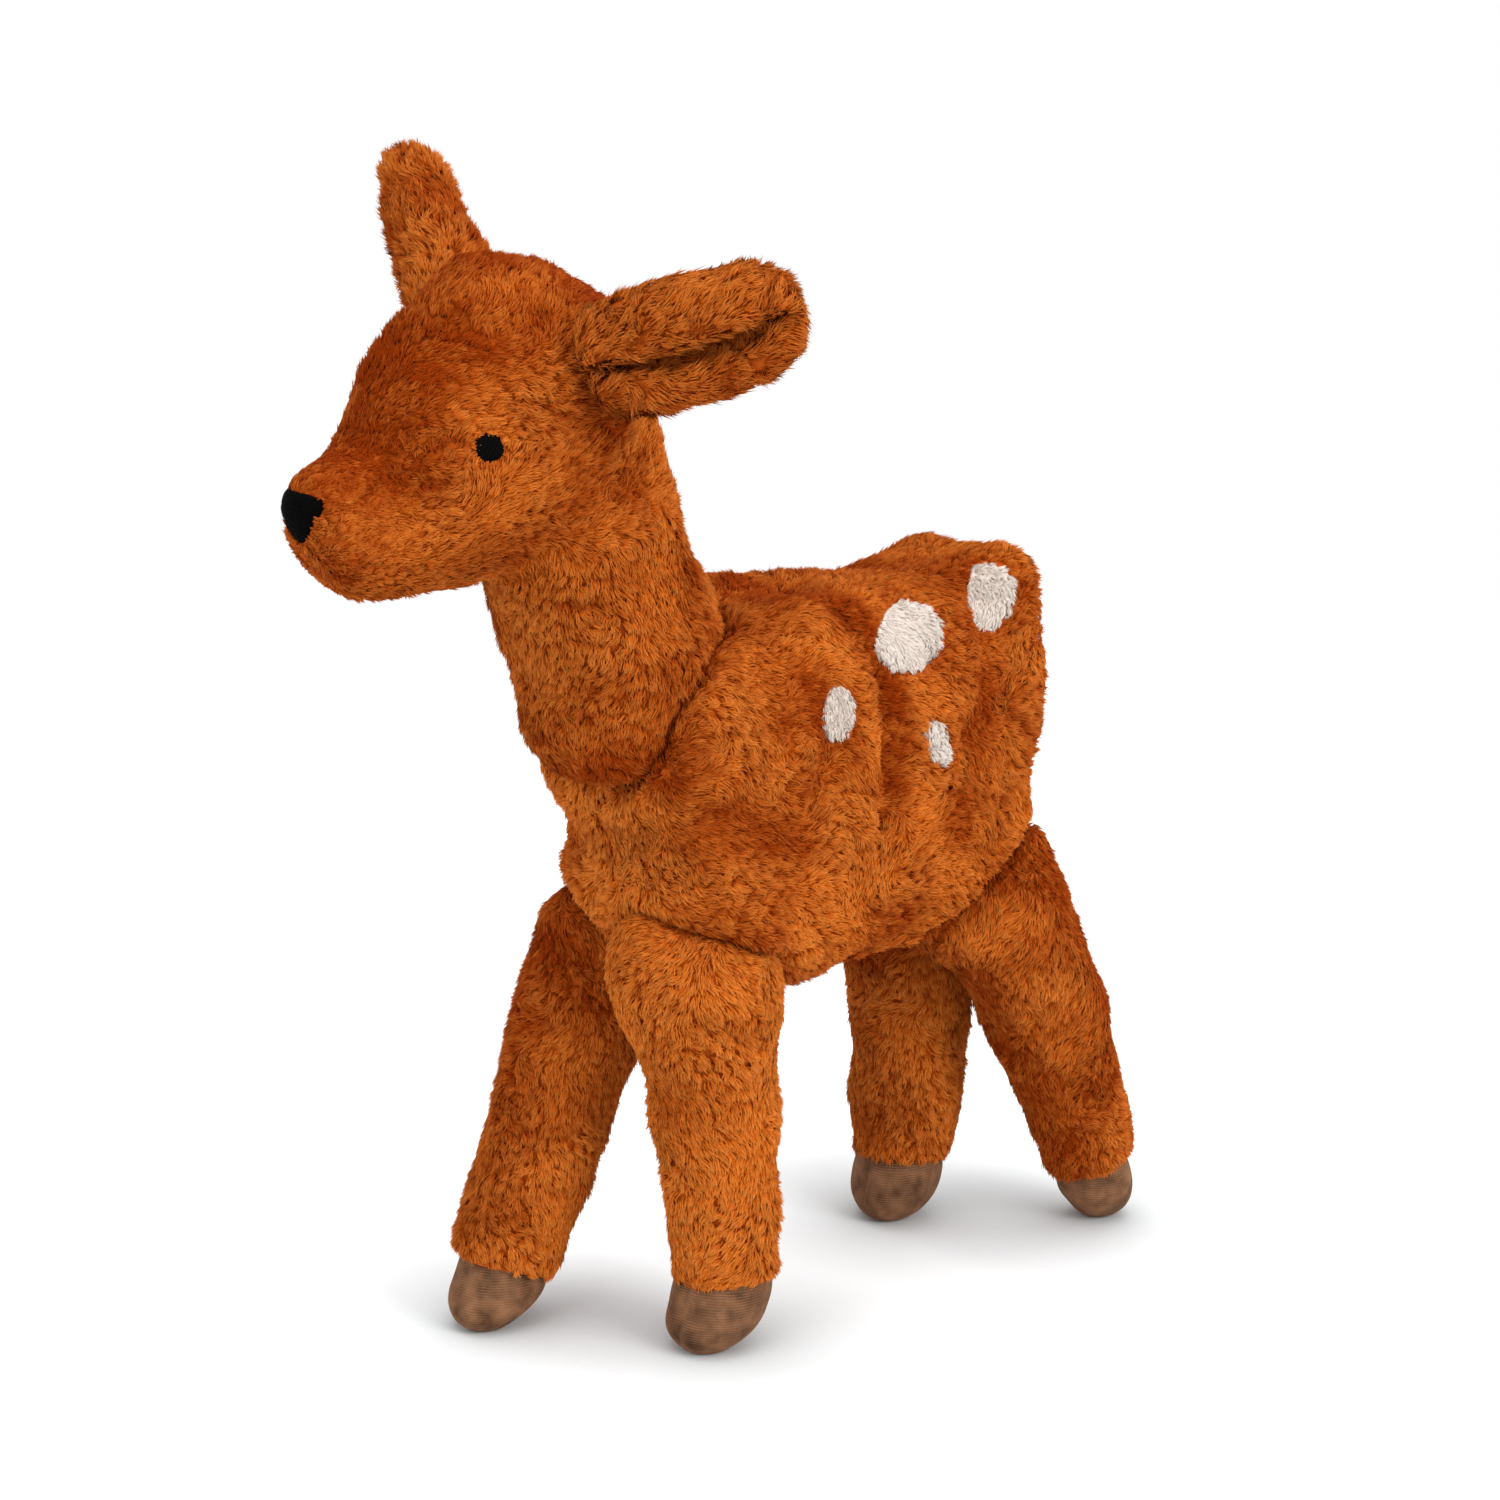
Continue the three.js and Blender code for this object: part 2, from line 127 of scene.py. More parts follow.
def smooth_step(low: float, high: float, values: Array) -> Array:
    """A soft rise from 0 at `low` to 1 at `high`."""
    share = np.clip((values - low) / (high - low), 0.0, 1.0)
    return share * share * (3 - 2 * share)


def seeded(name: str) -> np.random.Generator:
    """A random generator that is the same for a name in every run."""
    return np.random.default_rng(zlib.crc32(name.encode()))


def curve_through(values: Array, shares: Array) -> Array:
    """Samples a smooth curve through rows of values.

    Args:
        values: One row for each knot.
        shares: Places along the curve, from 0 to 1.

    Returns:
        One row for each share.
    """
    spans = len(values) - 1
    place = np.clip(shares, 0, 1) * spans
    index = np.minimum(place.astype(int), spans - 1)
    t = (place - index)[:, None]
    ends = np.vstack([2 * values[0] - values[1], values, 2 * values[-1] - values[-2]])
    a, b, c, d = (ends[index + k] for k in range(4))
    bend = (2 * a - 5 * b + 4 * c - d) * t**2 + (3 * b - a - 3 * c + d) * t**3
    return 0.5 * (2 * b + (c - a) * t + bend)


@dataclass(frozen=True)
class Ripple:
    """A smooth random field in space, the sum of plane waves, near -1 to 1."""

    wavelength: float
    seed: int
    waves: int = 9

    def at(self, points: Array) -> Array:
        """The field's value at each point."""
        rng = np.random.default_rng(self.seed)
        ways = unit(rng.normal(size=(self.waves, 3)))
        pace = 2 * math.pi / (self.wavelength * rng.uniform(0.7, 1.5, self.waves))
        phase = rng.uniform(0, 2 * math.pi, self.waves)
        return np.sin(points @ (ways * pace[:, None]).T + phase).sum(axis=1) / math.sqrt(self.waves)


@dataclass(frozen=True)
class Station:
    """One ring of a stuffed form: its centre and its two half sizes."""

    at: Place
    across: float
    deep: float


@dataclass
class StuffedForm:
    """Rings that swell and taper along a spine, with a dome at each end.

    Attributes:
        stations: The rings that the form passes through.
        domes: How far the first and the last dome stand out.
        square: 2 for an oval ring, and more for a squarer one.
        sideways: The direction that `across` is measured in.
        pitch: The distance between neighbouring points.
    """

    stations: Sequence[Station]
    domes: tuple[float, float]
    square: float = 2.0
    sideways: Place = (1.0, 0.0, 0.0)
    pitch: float = 2.0

    def frames(self, shares: Array) -> tuple[Array, Array, Array, Array]:
        """The centre, direction, sideways and upright vectors at each share of the spine."""
        knots = np.array([station.at for station in self.stations])
        step = 1e-3
        centres = curve_through(knots, shares)
        ahead = curve_through(knots, np.minimum(shares + step, 1))
        behind = curve_through(knots, np.maximum(shares - step, 0))
        along = unit(ahead - behind)
        side = unit(np.array(self.sideways))
        lateral = unit(side - along * (along @ side)[:, None])
        return centres, along, lateral, np.cross(along, lateral)

    def rows(self, grow: float) -> tuple[Array, Array, Array]:
        """Where the rings lie: their shares, their scales and their shifts along the spine."""
        knots = np.array([station.at for station in self.stations])
        length = np.linalg.norm(np.diff(knots, axis=0), axis=1).sum()
        body = np.linspace(0, 1, max(3, round(length / self.pitch)))
        domes = []
        for dome in self.domes:
            count = max(4, round((dome + grow) * 1.6 / self.pitch))
            turn = np.linspace(0, math.pi / 2, count + 1)[1:-1]
            domes.append([wave(turn) ** (2 / self.square) for wave in (np.sin, np.cos)])
        (near, fall), (far, rise) = domes
        first, last = (dome + grow for dome in self.domes)
        shares = np.concatenate([np.zeros(len(near)), body, np.ones(len(far))])
        scales = np.concatenate([near, np.ones(len(body)), far[::-1]])
        return shares, scales, np.concatenate([-first * fall, np.zeros(len(body)), last * rise[::-1]])

    def mesh(self, name: str, grow: float = 0.0) -> bpy.types.Mesh:
        """Builds the form as a closed mesh.

        Args:
            name: The mesh's name.
            grow: How far the whole surface is moved out.

        Returns:
            The mesh, in millimetres.
        """
        shares, scales, shifts = self.rows(grow)
        centres, along, lateral, upright = self.frames(shares)
        sizes = curve_through(np.array([(s.across, s.deep) for s in self.stations]), shares) + grow
        centres = centres + times(along, shifts)
        sides = max(12, round(2 * math.pi * sizes.max() / self.pitch / 4) * 4)
        turn = 2 * math.pi * np.arange(sides) / sides
        ring = np.stack([np.cos(turn), np.sin(turn)])
        ring = np.sign(ring) * np.abs(ring) ** (2 / self.square)
        across = (sizes[:, 0] * scales)[:, None, None] * lateral[:, None, :] * ring[0][None, :, None]
        deep = (sizes[:, 1] * scales)[:, None, None] * upright[:, None, :] * ring[1][None, :, None]
        rings = centres[:, None, :] + across + deep
        ends = self.frames(np.array([0.0, 1.0]))[0]
        start = ends[0] - along[0] * (self.domes[0] + grow)
        end = ends[1] + along[-1] * (self.domes[1] + grow)
        return skin_rings(name, rings, start, end)


def skin_rings(name: str, rings: Array, first: Array, last: Array) -> bpy.types.Mesh:
    """Skins rings of points, with a point at each end, as a closed mesh facing out."""
    count, sides = rings.shape[:2]
    points = np.vstack([first[None], rings.reshape(-1, 3), last[None]])
    index = 1 + np.arange(count * sides).reshape(count, sides)
    near, far = index[:-1], index[1:]
    quads = np.stack([near, np.roll(near, -1, 1), np.roll(far, -1, 1), far], -1).reshape(-1, 4)
    cap = np.stack([np.zeros(sides, int), np.roll(index[0], -1), index[0]], -1)
    end = len(points) - 1
    tip = np.stack([np.full(sides, end), index[-1], np.roll(index[-1], -1)], -1)
    mesh = bpy.data.meshes.new(name)
    mesh.from_pydata(points, [], quads.tolist() + cap.tolist() + tip.tolist())
    return facing_out(mesh)


def facing_out(mesh: bpy.types.Mesh) -> bpy.types.Mesh:
    """Turns a closed mesh's faces so that they point out."""
    mesh.update()
    points, triangles = mesh_points(mesh), mesh_triangles(mesh)
    a, b, c = (points[triangles[:, k]] for k in range(3))
    if np.einsum("ij,ij->", a, np.cross(b, c)) < 0:
        mesh.flip_normals()
    return mesh


def mesh_points(mesh: bpy.types.Mesh) -> Array:
    """A mesh's points as rows."""
    points = np.empty(len(mesh.vertices) * 3)
    mesh.vertices.foreach_get("co", points)
    return points.reshape(-1, 3)


def mesh_normals(mesh: bpy.types.Mesh) -> Array:
    """A mesh's point normals as rows."""
    normals = np.empty(len(mesh.vertices) * 3, np.float32)
    mesh.vertex_normals.foreach_get("vector", normals)
    return normals.reshape(-1, 3).astype(float)


def mesh_triangles(mesh: bpy.types.Mesh) -> Array:
    """A mesh's triangles as rows of point indices."""
    mesh.calc_loop_triangles()
    triangles = np.empty(len(mesh.loop_triangles) * 3, np.int32)
    mesh.loop_triangles.foreach_get("vertices", triangles)
    return triangles.reshape(-1, 3)


def set_points(mesh: bpy.types.Mesh, points: Array) -> None:
    """Moves a mesh's points."""
    mesh.vertices.foreach_set("co", points.ravel())
    mesh.update()


def triangle_mesh(name: str, points: Array, triangles: Array) -> bpy.types.Mesh:
    """Makes a mesh from arrays of points and triangles."""
    mesh = bpy.data.meshes.new(name)
    mesh.vertices.add(len(points))
    mesh.vertices.foreach_set("co", points.ravel())
    mesh.loops.add(triangles.size)
    mesh.loops.foreach_set("vertex_index", triangles.ravel())
    mesh.polygons.add(len(triangles))
    mesh.polygons.foreach_set("loop_start", np.arange(0, triangles.size, 3))
    mesh.update(calc_edges=True)
    return mesh


def evaluated(mesh: bpy.types.Mesh, *modifiers: Callable[[bpy.types.Object], None]) -> bpy.types.Mesh:
    """A copy of a mesh with modifiers applied, each added by a function that takes the object."""
    holder = bpy.data.objects.new("holder", mesh)
    bpy.context.scene.collection.objects.link(holder)
    for add in modifiers:
        add(holder)
    graph = bpy.context.evaluated_depsgraph_get()
    result = bpy.data.meshes.new_from_object(holder.evaluated_get(graph))
    bpy.data.objects.remove(holder)
    result.name = mesh.name
    return result


@dataclass(frozen=True)
class Crease:
    """A line on a cover that is pressed in, or raised where its depth is negative."""

    line: tuple[Place, ...]
    width: float
    depth: float

    def mirrored(self) -> "Crease":
        """The same crease on the other side."""
        return Crease(tuple((-x, y, z) for x, y, z in self.line), self.width, self.depth)

    def near(self, points: Array) -> Array:
        """How near each point is to the line, from 0 to 1."""
        knots = np.array(self.line)
        best = np.full(len(points), np.inf)
        for start, end in zip(knots[:-1], knots[1:]):
            span = end - start
            share = np.clip((points - start) @ span / max(span @ span, 1e-9), 0, 1)
            best = np.minimum(best, np.linalg.norm(points - start - share[:, None] * span, axis=1))
        return np.exp(-((best / self.width) ** 2))


@dataclass(frozen=True)
class Tug:
    """A place on a cover that is carried off a short way, on both sides of the fawn or on one."""

    centre: Place
    radius: float
    shift: Place
    paired: bool = True

    def moves(self, points: Array) -> Array:
        """How far each point is carried."""
        total = np.zeros_like(points)
        for sign in (1, -1) if self.paired and self.centre[0] else (1,):
            flip = np.array([sign, 1, 1])
            gap = np.linalg.norm(points - np.array(self.centre) * flip, axis=1)
            total += np.exp(-((gap / self.radius) ** 2))[:, None] * (np.array(self.shift) * flip)
        return total


class Skin:
    """A cover's surface, which can be sculpted before it becomes a piece."""

    def __init__(self, mesh: bpy.types.Mesh) -> None:
        """Takes a closed mesh in millimetres."""
        self.mesh = mesh

    @property
    def points(self) -> Array:
        """The surface's points."""
        return mesh_points(self.mesh)

    @property
    def normals(self) -> Array:
        """The surface's point normals."""
        return mesh_normals(self.mesh)

    def push(self, amounts: Array) -> None:
        """Moves each point along its normal."""
        set_points(self.mesh, self.points + times(self.normals, amounts))

    def snapped(self, line: Iterable[Sequence[float]], steps: int = 24) -> Array:
        """Lays a line on the surface.

        Args:
            line: Knots near the surface.
            steps: How many points the laid line has.

        Returns:
            The surface's own points nearest to the line.
        """
        way = curve_through(np.array(list(line), float), np.linspace(0, 1, steps))
        points = self.points
        return np.array([points[np.argmin(((points - spot) ** 2).sum(axis=1))] for spot in way])

    def press(self, creases: Iterable[Crease]) -> None:
        """Presses creases into the surface, laid on it first."""
        for crease in creases:
            laid = Crease(tuple(map(tuple, self.snapped(crease.line))), crease.width, crease.depth)
            self.push(-crease.depth * laid.near(self.points))

    def meet(self, other: "Skin", valley: float, lip: float = 0.0) -> None:
        """Pulls the surface in along its seam with another skin, with a fuller lip beside it.

        Args:
            other: The skin that is sewn on.
            valley: How deep the seam is pulled in.
            lip: How far the surface swells just outside the seam.
        """
        depth = other.depth(self.points)
        seam = np.exp(-((depth / 2.8) ** 2))
        swell = np.exp(-(((depth + 7) / 4.5) ** 2))
        self.push(lip * swell - valley * seam)

    def swell(self, centre: Place, radius: float, height: float) -> None:
        """Raises a soft mound on the surface, or a dent where the height is negative."""
        gap = np.linalg.norm(self.points - np.array(centre), axis=1)
        self.push(height * np.exp(-((gap / radius) ** 2)))

    def swell_pairs(self, mounds: Iterable[tuple[Place, float, float]]) -> None:
        """Raises each mound on the left and then on the right side."""
        for side in Side:
            for (x, y, z), radius, height in mounds:
                self.swell((side.value * x, y, z), radius, height)

    def above(self, floor: float) -> None:
        """Lifts what lies under a height up to it."""
        points = self.points
        points[:, 2] = np.maximum(points[:, 2], floor)
        set_points(self.mesh, points)

    def tug(self, tugs: Iterable[Tug]) -> None:
        """Carries places on the surface off."""
        for each in tugs:
            points = self.points
            set_points(self.mesh, points + each.moves(points))

    def lump(self, ripples: Iterable[tuple[Ripple, float]]) -> None:
        """Adds the unevenness of stuffing: ripples, each with its height."""
        points = self.points
        self.push(sum(height * ripple.at(points) for ripple, height in ripples))

    def tree(self) -> BVHTree:
        """The surface as a tree for casting rays at it."""
        return BVHTree.FromPolygons(self.points.tolist(), mesh_triangles(self.mesh).tolist())

    def depth(self, points: Array, reach: float = 14.0) -> Array:
        """How deep each point is inside the skin, negative outside it, told up to `reach`."""
        tree = self.tree()
        low, high = self.points.min(axis=0) - reach, self.points.max(axis=0) + reach
        found = np.full(len(points), -reach)
        for index in np.nonzero(((points > low) & (points < high)).all(axis=1))[0]:
            spot = Vector(points[index])
            place, normal, _, gap = tree.find_nearest(spot)
            found[index] = gap if (place - spot).dot(normal) > 0 else -gap
        return found


def fed(node: bpy.types.Node, inputs: dict[int | str, object]) -> bpy.types.Node:
    """Sets a node's inputs to values, or links other nodes' outputs to them."""
    for key, value in inputs.items():
        if isinstance(value, Socket):
            node.id_data.links.new(value, node.inputs[key])
        else:
            node.inputs[key].default_value = value
    return node


def add_node(tree: bpy.types.NodeTree, kind: str, **settings: object) -> bpy.types.Node:
    """Adds a node to a tree and sets its own settings."""
    node = tree.nodes.new(f"ShaderNode{kind}")
    for name, value in settings.items():
        setattr(node, name, value)
    return node


class Shader:
    """A short way to write a material's nodes."""

    def __init__(self, name: str) -> None:
        """Makes an empty material with a Principled shader on its output."""
        self.material = bpy.data.materials.new(name)
        self.material.use_nodes = True
        self.tree = self.material.node_tree
        self.tree.nodes.clear()
        self.surface = self.node("BsdfPrincipled")
        self.output = fed(self.node("OutputMaterial"), {0: self.surface.outputs[0]})

    def node(self, kind: str, **settings: object) -> bpy.types.Node:
        """Adds a node and sets its own settings."""
        return add_node(self.tree, kind, **settings)

    def colour(self, colour: Socket) -> None:
        """Links the surface's colour."""
        fed(self.surface, {"Base Color": colour})

    def attribute(self, name: str) -> Socket:
        """The value of a mesh attribute."""
        return self.node("Attribute", attribute_name=name).outputs["Fac"]

    def places(self, scale: float = 1.0) -> Socket:
        """Object coordinates, scaled."""
        whole = self.node("TexCoord").outputs["Object"]
        return fed(self.node("Mapping"), {"Vector": whole, "Scale": (scale,) * 3}).outputs[0]

    def noise(self, size: float, detail: float = 3) -> Socket:
        """Noise with features of a size in millimetres."""
        inputs = {"Scale": 1 / (size * MM), "Detail": detail, "Vector": self.places()}
        return fed(self.node("TexNoise"), inputs).outputs["Fac"]

    def ribs(self, pitch: float, axis: str, wander: float) -> Socket:
        """Parallel ribs of a pitch in millimetres, across one axis."""
        inputs = {"Scale": 0.314 / (pitch * MM), "Distortion": wander, "Vector": self.places()}
        return fed(self.node("TexWave", bands_direction=axis), inputs).outputs["Fac"]

    def sums(self, operation: str, *values: object) -> Socket:
        """One sum of two or three values."""
        return fed(self.node("Math", operation=operation), dict(enumerate(values))).outputs[0]

    def weighted(self, *terms: tuple[Socket, float]) -> Socket:
        """The sum of two values, each times its own weight."""
        return self.sums("ADD", *(self.sums("MULTIPLY", value, weight) for value, weight in terms))

    def blend(self, share: object, first: object, second: object) -> Socket:
        """A mix of two colours."""
        return fed(self.node("Mix", data_type="RGBA"), {0: share, 6: first, 7: second}).outputs[2]

    def ramp(self, value: Socket, stops: Iterable[tuple[float, Colour]]) -> Socket:
        """A ramp of screen colours over a value."""
        node = fed(self.node("ValToRGB"), {0: value})
        elements, stops = node.color_ramp.elements, list(stops)
        while len(elements) < len(stops):
            elements.new(0.5)
        for element, (place, colour) in zip(elements, stops):
            element.position = place
            element.color = paint(*colour)
        return node.outputs[0]

    def bump(self, height: Socket, distance: float) -> None:
        """Adds a bump of a height in millimetres to the surface."""
        node = fed(self.node("Bump"), {"Strength": 1.0, "Distance": distance * MM, "Height": height})
        fed(self.surface, {"Normal": node.outputs[0]})

    def matt(self, roughness: float, specular: float) -> None:
        """Sets how rough and how glossy the surface is, on the shader's own sockets."""
        fed(self.surface, {"Roughness": roughness, "Specular IOR Level": specular})

    def cloth(self, roughness: float, sheen: float, tint: tuple, specular: float = 0.2) -> None:
        """Sets the constants of a cloth on the shader's own sockets."""
        self.matt(roughness, specular)
        fed(self.surface, {"Sheen Weight": sheen, "Sheen Roughness": 0.45, "Sheen Tint": tint})


def paint(red: int, green: int, blue: int) -> tuple[float, float, float, float]:
    """A colour as seen on a screen, in the shader's linear values."""
    def linear(value: int) -> float:
        """One channel's linear value."""
        share = value / 255
        return share / 12.92 if share <= 0.04045 else ((share + 0.055) / 1.055) ** 2.4

    return linear(red), linear(green), linear(blue), 1.0


@dataclass(frozen=True)
class Ground:
    """The ground cloth under a pile: its own colour, lightened to the pile's colours as painted light bounced
    between the tufts.
    """

    name: str
    slot: Slot
    root: Colour
    half: Colour

    @cache
    def material(self) -> bpy.types.Material:
        """Builds the material."""
        shader = Shader(self.name)
        shader.colour(shader.blend(shader.noise(1.2), paint(*self.root), paint(*self.half)))
        shader.bump(shader.noise(0.9, 4), 0.5)
        shader.cloth(0.95, 0.1, paint(*self.half))
        return shader.material


@dataclass(frozen=True)
class PileFinish:
    """The colours of a pile from its roots to its tips, in a copy under painted shade and a copy under
    painted light.
    """

    name: str
    slot: Slot
    # The pile's colours in painted shade, and in painted light.
    shaded: tuple[Colour, ...]
    bright: tuple[Colour, ...]
    sheen: float = 0.25

    @cache
    def material(self) -> bpy.types.Material:
        """Builds the tufts' material, from the tufts' own rise and tint, which blends the copy in painted
        shade with the copy in painted light.
        """
        shader = Shader(self.name)
        rise, tint = shader.attribute("rise"), shader.attribute("tint")
        dark, light = (
            shader.ramp(rise, zip((0.0, 0.45, 1.0), colours)) for colours in (self.shaded, self.bright)
        )
        shader.colour(shader.blend(tint, dark, light))
        shader.cloth(0.85, self.sheen, paint(*self.bright[1]), 0.06)
        return shader.material

    @property
    def ground(self) -> Ground:
        """The finish of the cloth that the pile grows on, in the shaded tip colour and the lit middle colour,
        lighter than the roots: painted light bounced between the tufts.
        """
        return Ground(f"{self.name}_ground", self.slot, self.shaded[2], self.bright[1])


# Each pile's colours come in a copy with painted shade and a copy with painted light.
RUST = PileFinish(
    "rust_plush",
    Slot.PLUSH,
    shaded=((112, 32, 0), (134, 44, 0), (158, 60, 2)),
    bright=((160, 64, 4), (199, 93, 16), (235, 143, 62)),
    sheen=0.18,
)
SNOW = PileFinish(
    "white_plush",
    Slot.WHITE,
    shaded=((188, 170, 156), (216, 200, 186), (230, 216, 204)),
    bright=((206, 190, 176), (234, 220, 208), (244, 234, 226)),
)
FELT_FIBRE = PileFinish(
    "felt_fibre",
    Slot.FELT,
    shaded=((2, 2, 2), (3, 3, 3), (6, 6, 6)),
    bright=((3, 3, 3), (6, 5, 5), (12, 11, 10)),
    sheen=0.0,
)


@dataclass(frozen=True)
class PileStyle:
    """How a pile is made up.

    Attributes:
        length: A tuft's length.
        width: A tuft's width at its middle.
        spacing: The area that each gathered clump of tufts takes.
        tufts: How many tufts a clump holds.
        lie: The angle that a lying tuft makes with the cloth, in degrees.
        stand: The angle where the pile stands open, in degrees.
        gather: How far tips are drawn to the middle of their clump where the pile is open.
        lock: The area of a lock, in which neighbouring clumps mat together.
        matted: How far tips are drawn to the middle of their lock.
    """

    length: float = 4.0
    width: float = 0.54
    spacing: float = 2.3
    tufts: int = 7
    lie: float = 16.0
    stand: float = 36.0
    gather: float = 0.5
    lock: float = 8.5
    matted: float = 0.4


@dataclass(frozen=True)
class Nap:
    """Which way a pile lies: one way overall or from place to place, with drifts and whirls."""

    way: Place | Callable[[Array], Array]
    drift: float = 0.55
    whirl: float = 0.3
    seed: int = 1

    def along(self, points: Array, normals: Array) -> Array:
        """The way that the pile lies on the surface at each point."""
        wander = np.zeros_like(points)
        for axis in range(3):
            slow = Ripple(46, self.seed * 10 + axis).at(points)
            quick = Ripple(15, self.seed * 10 + 5 + axis).at(points)
            wander[:, axis] = self.drift * slow + self.whirl * quick
        way = (self.way(points) if callable(self.way) else np.array(self.way)) + wander
        return unit(way - times(normals, np.einsum("ij,ij->i", way, normals)))


TUFT_FACES = np.array([(0, 2, 1), (0, 3, 2), (0, 1, 3), (1, 2, 4), (2, 3, 4), (3, 1, 4)])
TUFT_RISE = np.array([0.0, 0.5, 0.5, 0.5, 1.0])
TUFT_MAP = np.array([(0.5, 0.04), (0.06, 0.5), (0.5, 0.58), (0.94, 0.46), (0.5, 0.96)])
MOST_TUFTS = 32_000
# How far tufts stand from their clump's middle, and how deep their roots are sewn in.
CLUMP_SPREAD = 1.4
ROOT_DEPTH = 0.35


@dataclass(frozen=True)
class Pile:
    """A pile that grows on skins.

    Attributes:
        finish: The tufts' colours.
        style: The tufts' sizes.
    """

    finish: PileFinish
    style: PileStyle

    def clumps(self, skin: Skin, rng: np.random.Generator) -> tuple[Array, Array]:
        """Where the clumps stand on a skin: their points and normals."""
        points, normals, triangles = skin.points, skin.normals, mesh_triangles(skin.mesh)
        a, b, c = (points[triangles[:, k]] for k in range(3))
        areas = np.linalg.norm(np.cross(b - a, c - a), axis=1) / 2
        count = int(areas.sum() / self.style.spacing)
        places = (np.arange(count) + rng.random(count)) / count * areas.sum()
        picked = np.minimum(np.searchsorted(np.cumsum(areas), places), len(areas) - 1)
        u, v = rng.random(count), rng.random(count)
        folded = u + v > 1
        u[folded], v[folded] = 1 - u[folded], 1 - v[folded]
        weights = np.stack([1 - u - v, u, v], -1)[:, :, None]
        corners = triangles[picked]
        return (points[corners] * weights).sum(1), unit((normals[corners] * weights).sum(1))

    def locks(self, points: Array, roots: Array) -> tuple[Array, Array]:
        """The lock that each point mats with, and its way out from that lock's middle.

        Args:
            points: The tufts' roots.
            roots: The clumps' roots.

        Returns:
            The numbers of the locks, and the ways out as shares of a lock's radius.
        """
        middles = roots[:: max(1, round(self.style.lock / self.style.spacing))]
        tree = KDTree(len(middles))
        for number, middle in enumerate(middles):
            tree.insert(middle, number)
        tree.balance()
        nearest = np.array([tree.find(point)[1] for point in points], dtype=int)
        return nearest, (points - middles[nearest]) / math.sqrt(self.style.lock / math.pi)

    def grow(
        self,
        name: str,
        skin: Skin,
        nap: Nap,
        body: str,
        keep: Field | None = None,
        trim: Field | None = None,
        tone: Field | None = None,
    ) -> None:
        """Grows the pile on a skin.

        Args:
            name: The pieces' first word.
            skin: What the pile grows on.
            nap: Which way it lies.
            body: The body that it moves with.
            keep: Takes points and normals, and says where clumps stay.
            trim: Takes points and normals, and gives the share of the length that is left.
            tone: Takes points and normals, and gives how much brighter a place is painted with painted light,
                or darker with painted shade where negative.
        """
        rng = seeded(name)
        style = self.style
        roots, normals = self.clumps(skin, rng)
        if keep:
            stays = keep(roots, normals)
            roots, normals = roots[stays], normals[stays]
        count = len(roots)
        open_pile = smooth_step(-0.75, 0.8, Ripple(26, 71).at(roots) + 0.4 * Ripple(9, 72).at(roots))
        # Broad patches of painted nap sheen, a lying pile painted a little lighter than an open one, and
        # random tone from clump to clump.
        patch = 0.2 * Ripple(38, 73).at(roots) + 0.11 * Ripple(13, 74).at(roots)
        bright = 0.5 + patch + 0.1 * (0.5 - open_pile) + rng.normal(0, 0.06, count)
        # Painted light and shade of each place.
        if tone:
            bright = bright + tone(roots, normals)
        length = np.full(count, style.length)
        if trim:
            length = length * trim(roots, normals)
        lying = nap.along(roots, normals)
        sideways = np.cross(normals, lying)
        clumped = (roots, normals, lying, sideways, length, open_pile, bright)
        base, up, lie, side, long, opened, bright = (np.repeat(each, style.tufts, axis=0) for each in clumped)

        total = count * style.tufts
        reach = math.sqrt(style.spacing / math.pi) * CLUMP_SPREAD
        far = reach * np.sqrt(rng.random(total))
        turn = rng.uniform(0, 2 * math.pi, total)
        offset = times(side, far * np.cos(turn)) + times(lie, far * np.sin(turn))
        root = base + offset - up * ROOT_DEPTH
        long = long * rng.uniform(0.8, 1.15, total)
        lock, out = self.locks(root, roots)
        edge = np.minimum(np.linalg.norm(out, axis=1), 1.5)
        own = rng.normal(0, 1, (lock.max() + 1, 3))[lock]
        matted = style.matted * (0.45 + 0.55 * opened) * (long / style.length)
        drawn = times(out, matted * math.sqrt(style.lock / math.pi))
        lean = style.lie + (style.stand - style.lie) * opened + 6 * own[:, 1] * opened
        angle = np.radians(lean + rng.normal(0, 7, total) + 10 * (0.7 - edge))
        swing = rng.normal(0, 0.16, total)
        swing = swing + (0.2 * rng.normal(0, 1, total) + 0.4 * own[:, 0]) * (0.3 + 0.7 * opened)
        ahead = times(lie, np.cos(swing)) + times(side, np.sin(swing))
        tip = times(ahead, np.cos(angle)) + times(up, np.sin(angle))
        tip = root + times(tip, long) - times(offset, style.gather * opened) - drawn
        steep = np.minimum(angle + 0.5, 1.4)
        rise = times(ahead, np.cos(steep)) + times(up, np.sin(steep))
        middle = root + times(rise, 0.45 * long) - times(offset, 0.3 * style.gather * opened) - 0.35 * drawn
        points = self.tuft_points(root, middle, tip, up, rng)
        soft = self.tuft_normals(points, unit(up + times(0.55 * out, 0.4 + 0.6 * opened)))
        # Random tone from lock to lock, painted light on the middles of the locks and painted shade where
        # they part, then random tone from tuft to tuft.
        parted = 0.06 * own[:, 2] + 0.26 * (0.62 - edge) * (0.5 + 0.5 * opened)
        tint = np.clip(bright + parted + rng.normal(0, 0.07, total), 0, 1)
        self.add_pieces(name, points, soft, tint, body)

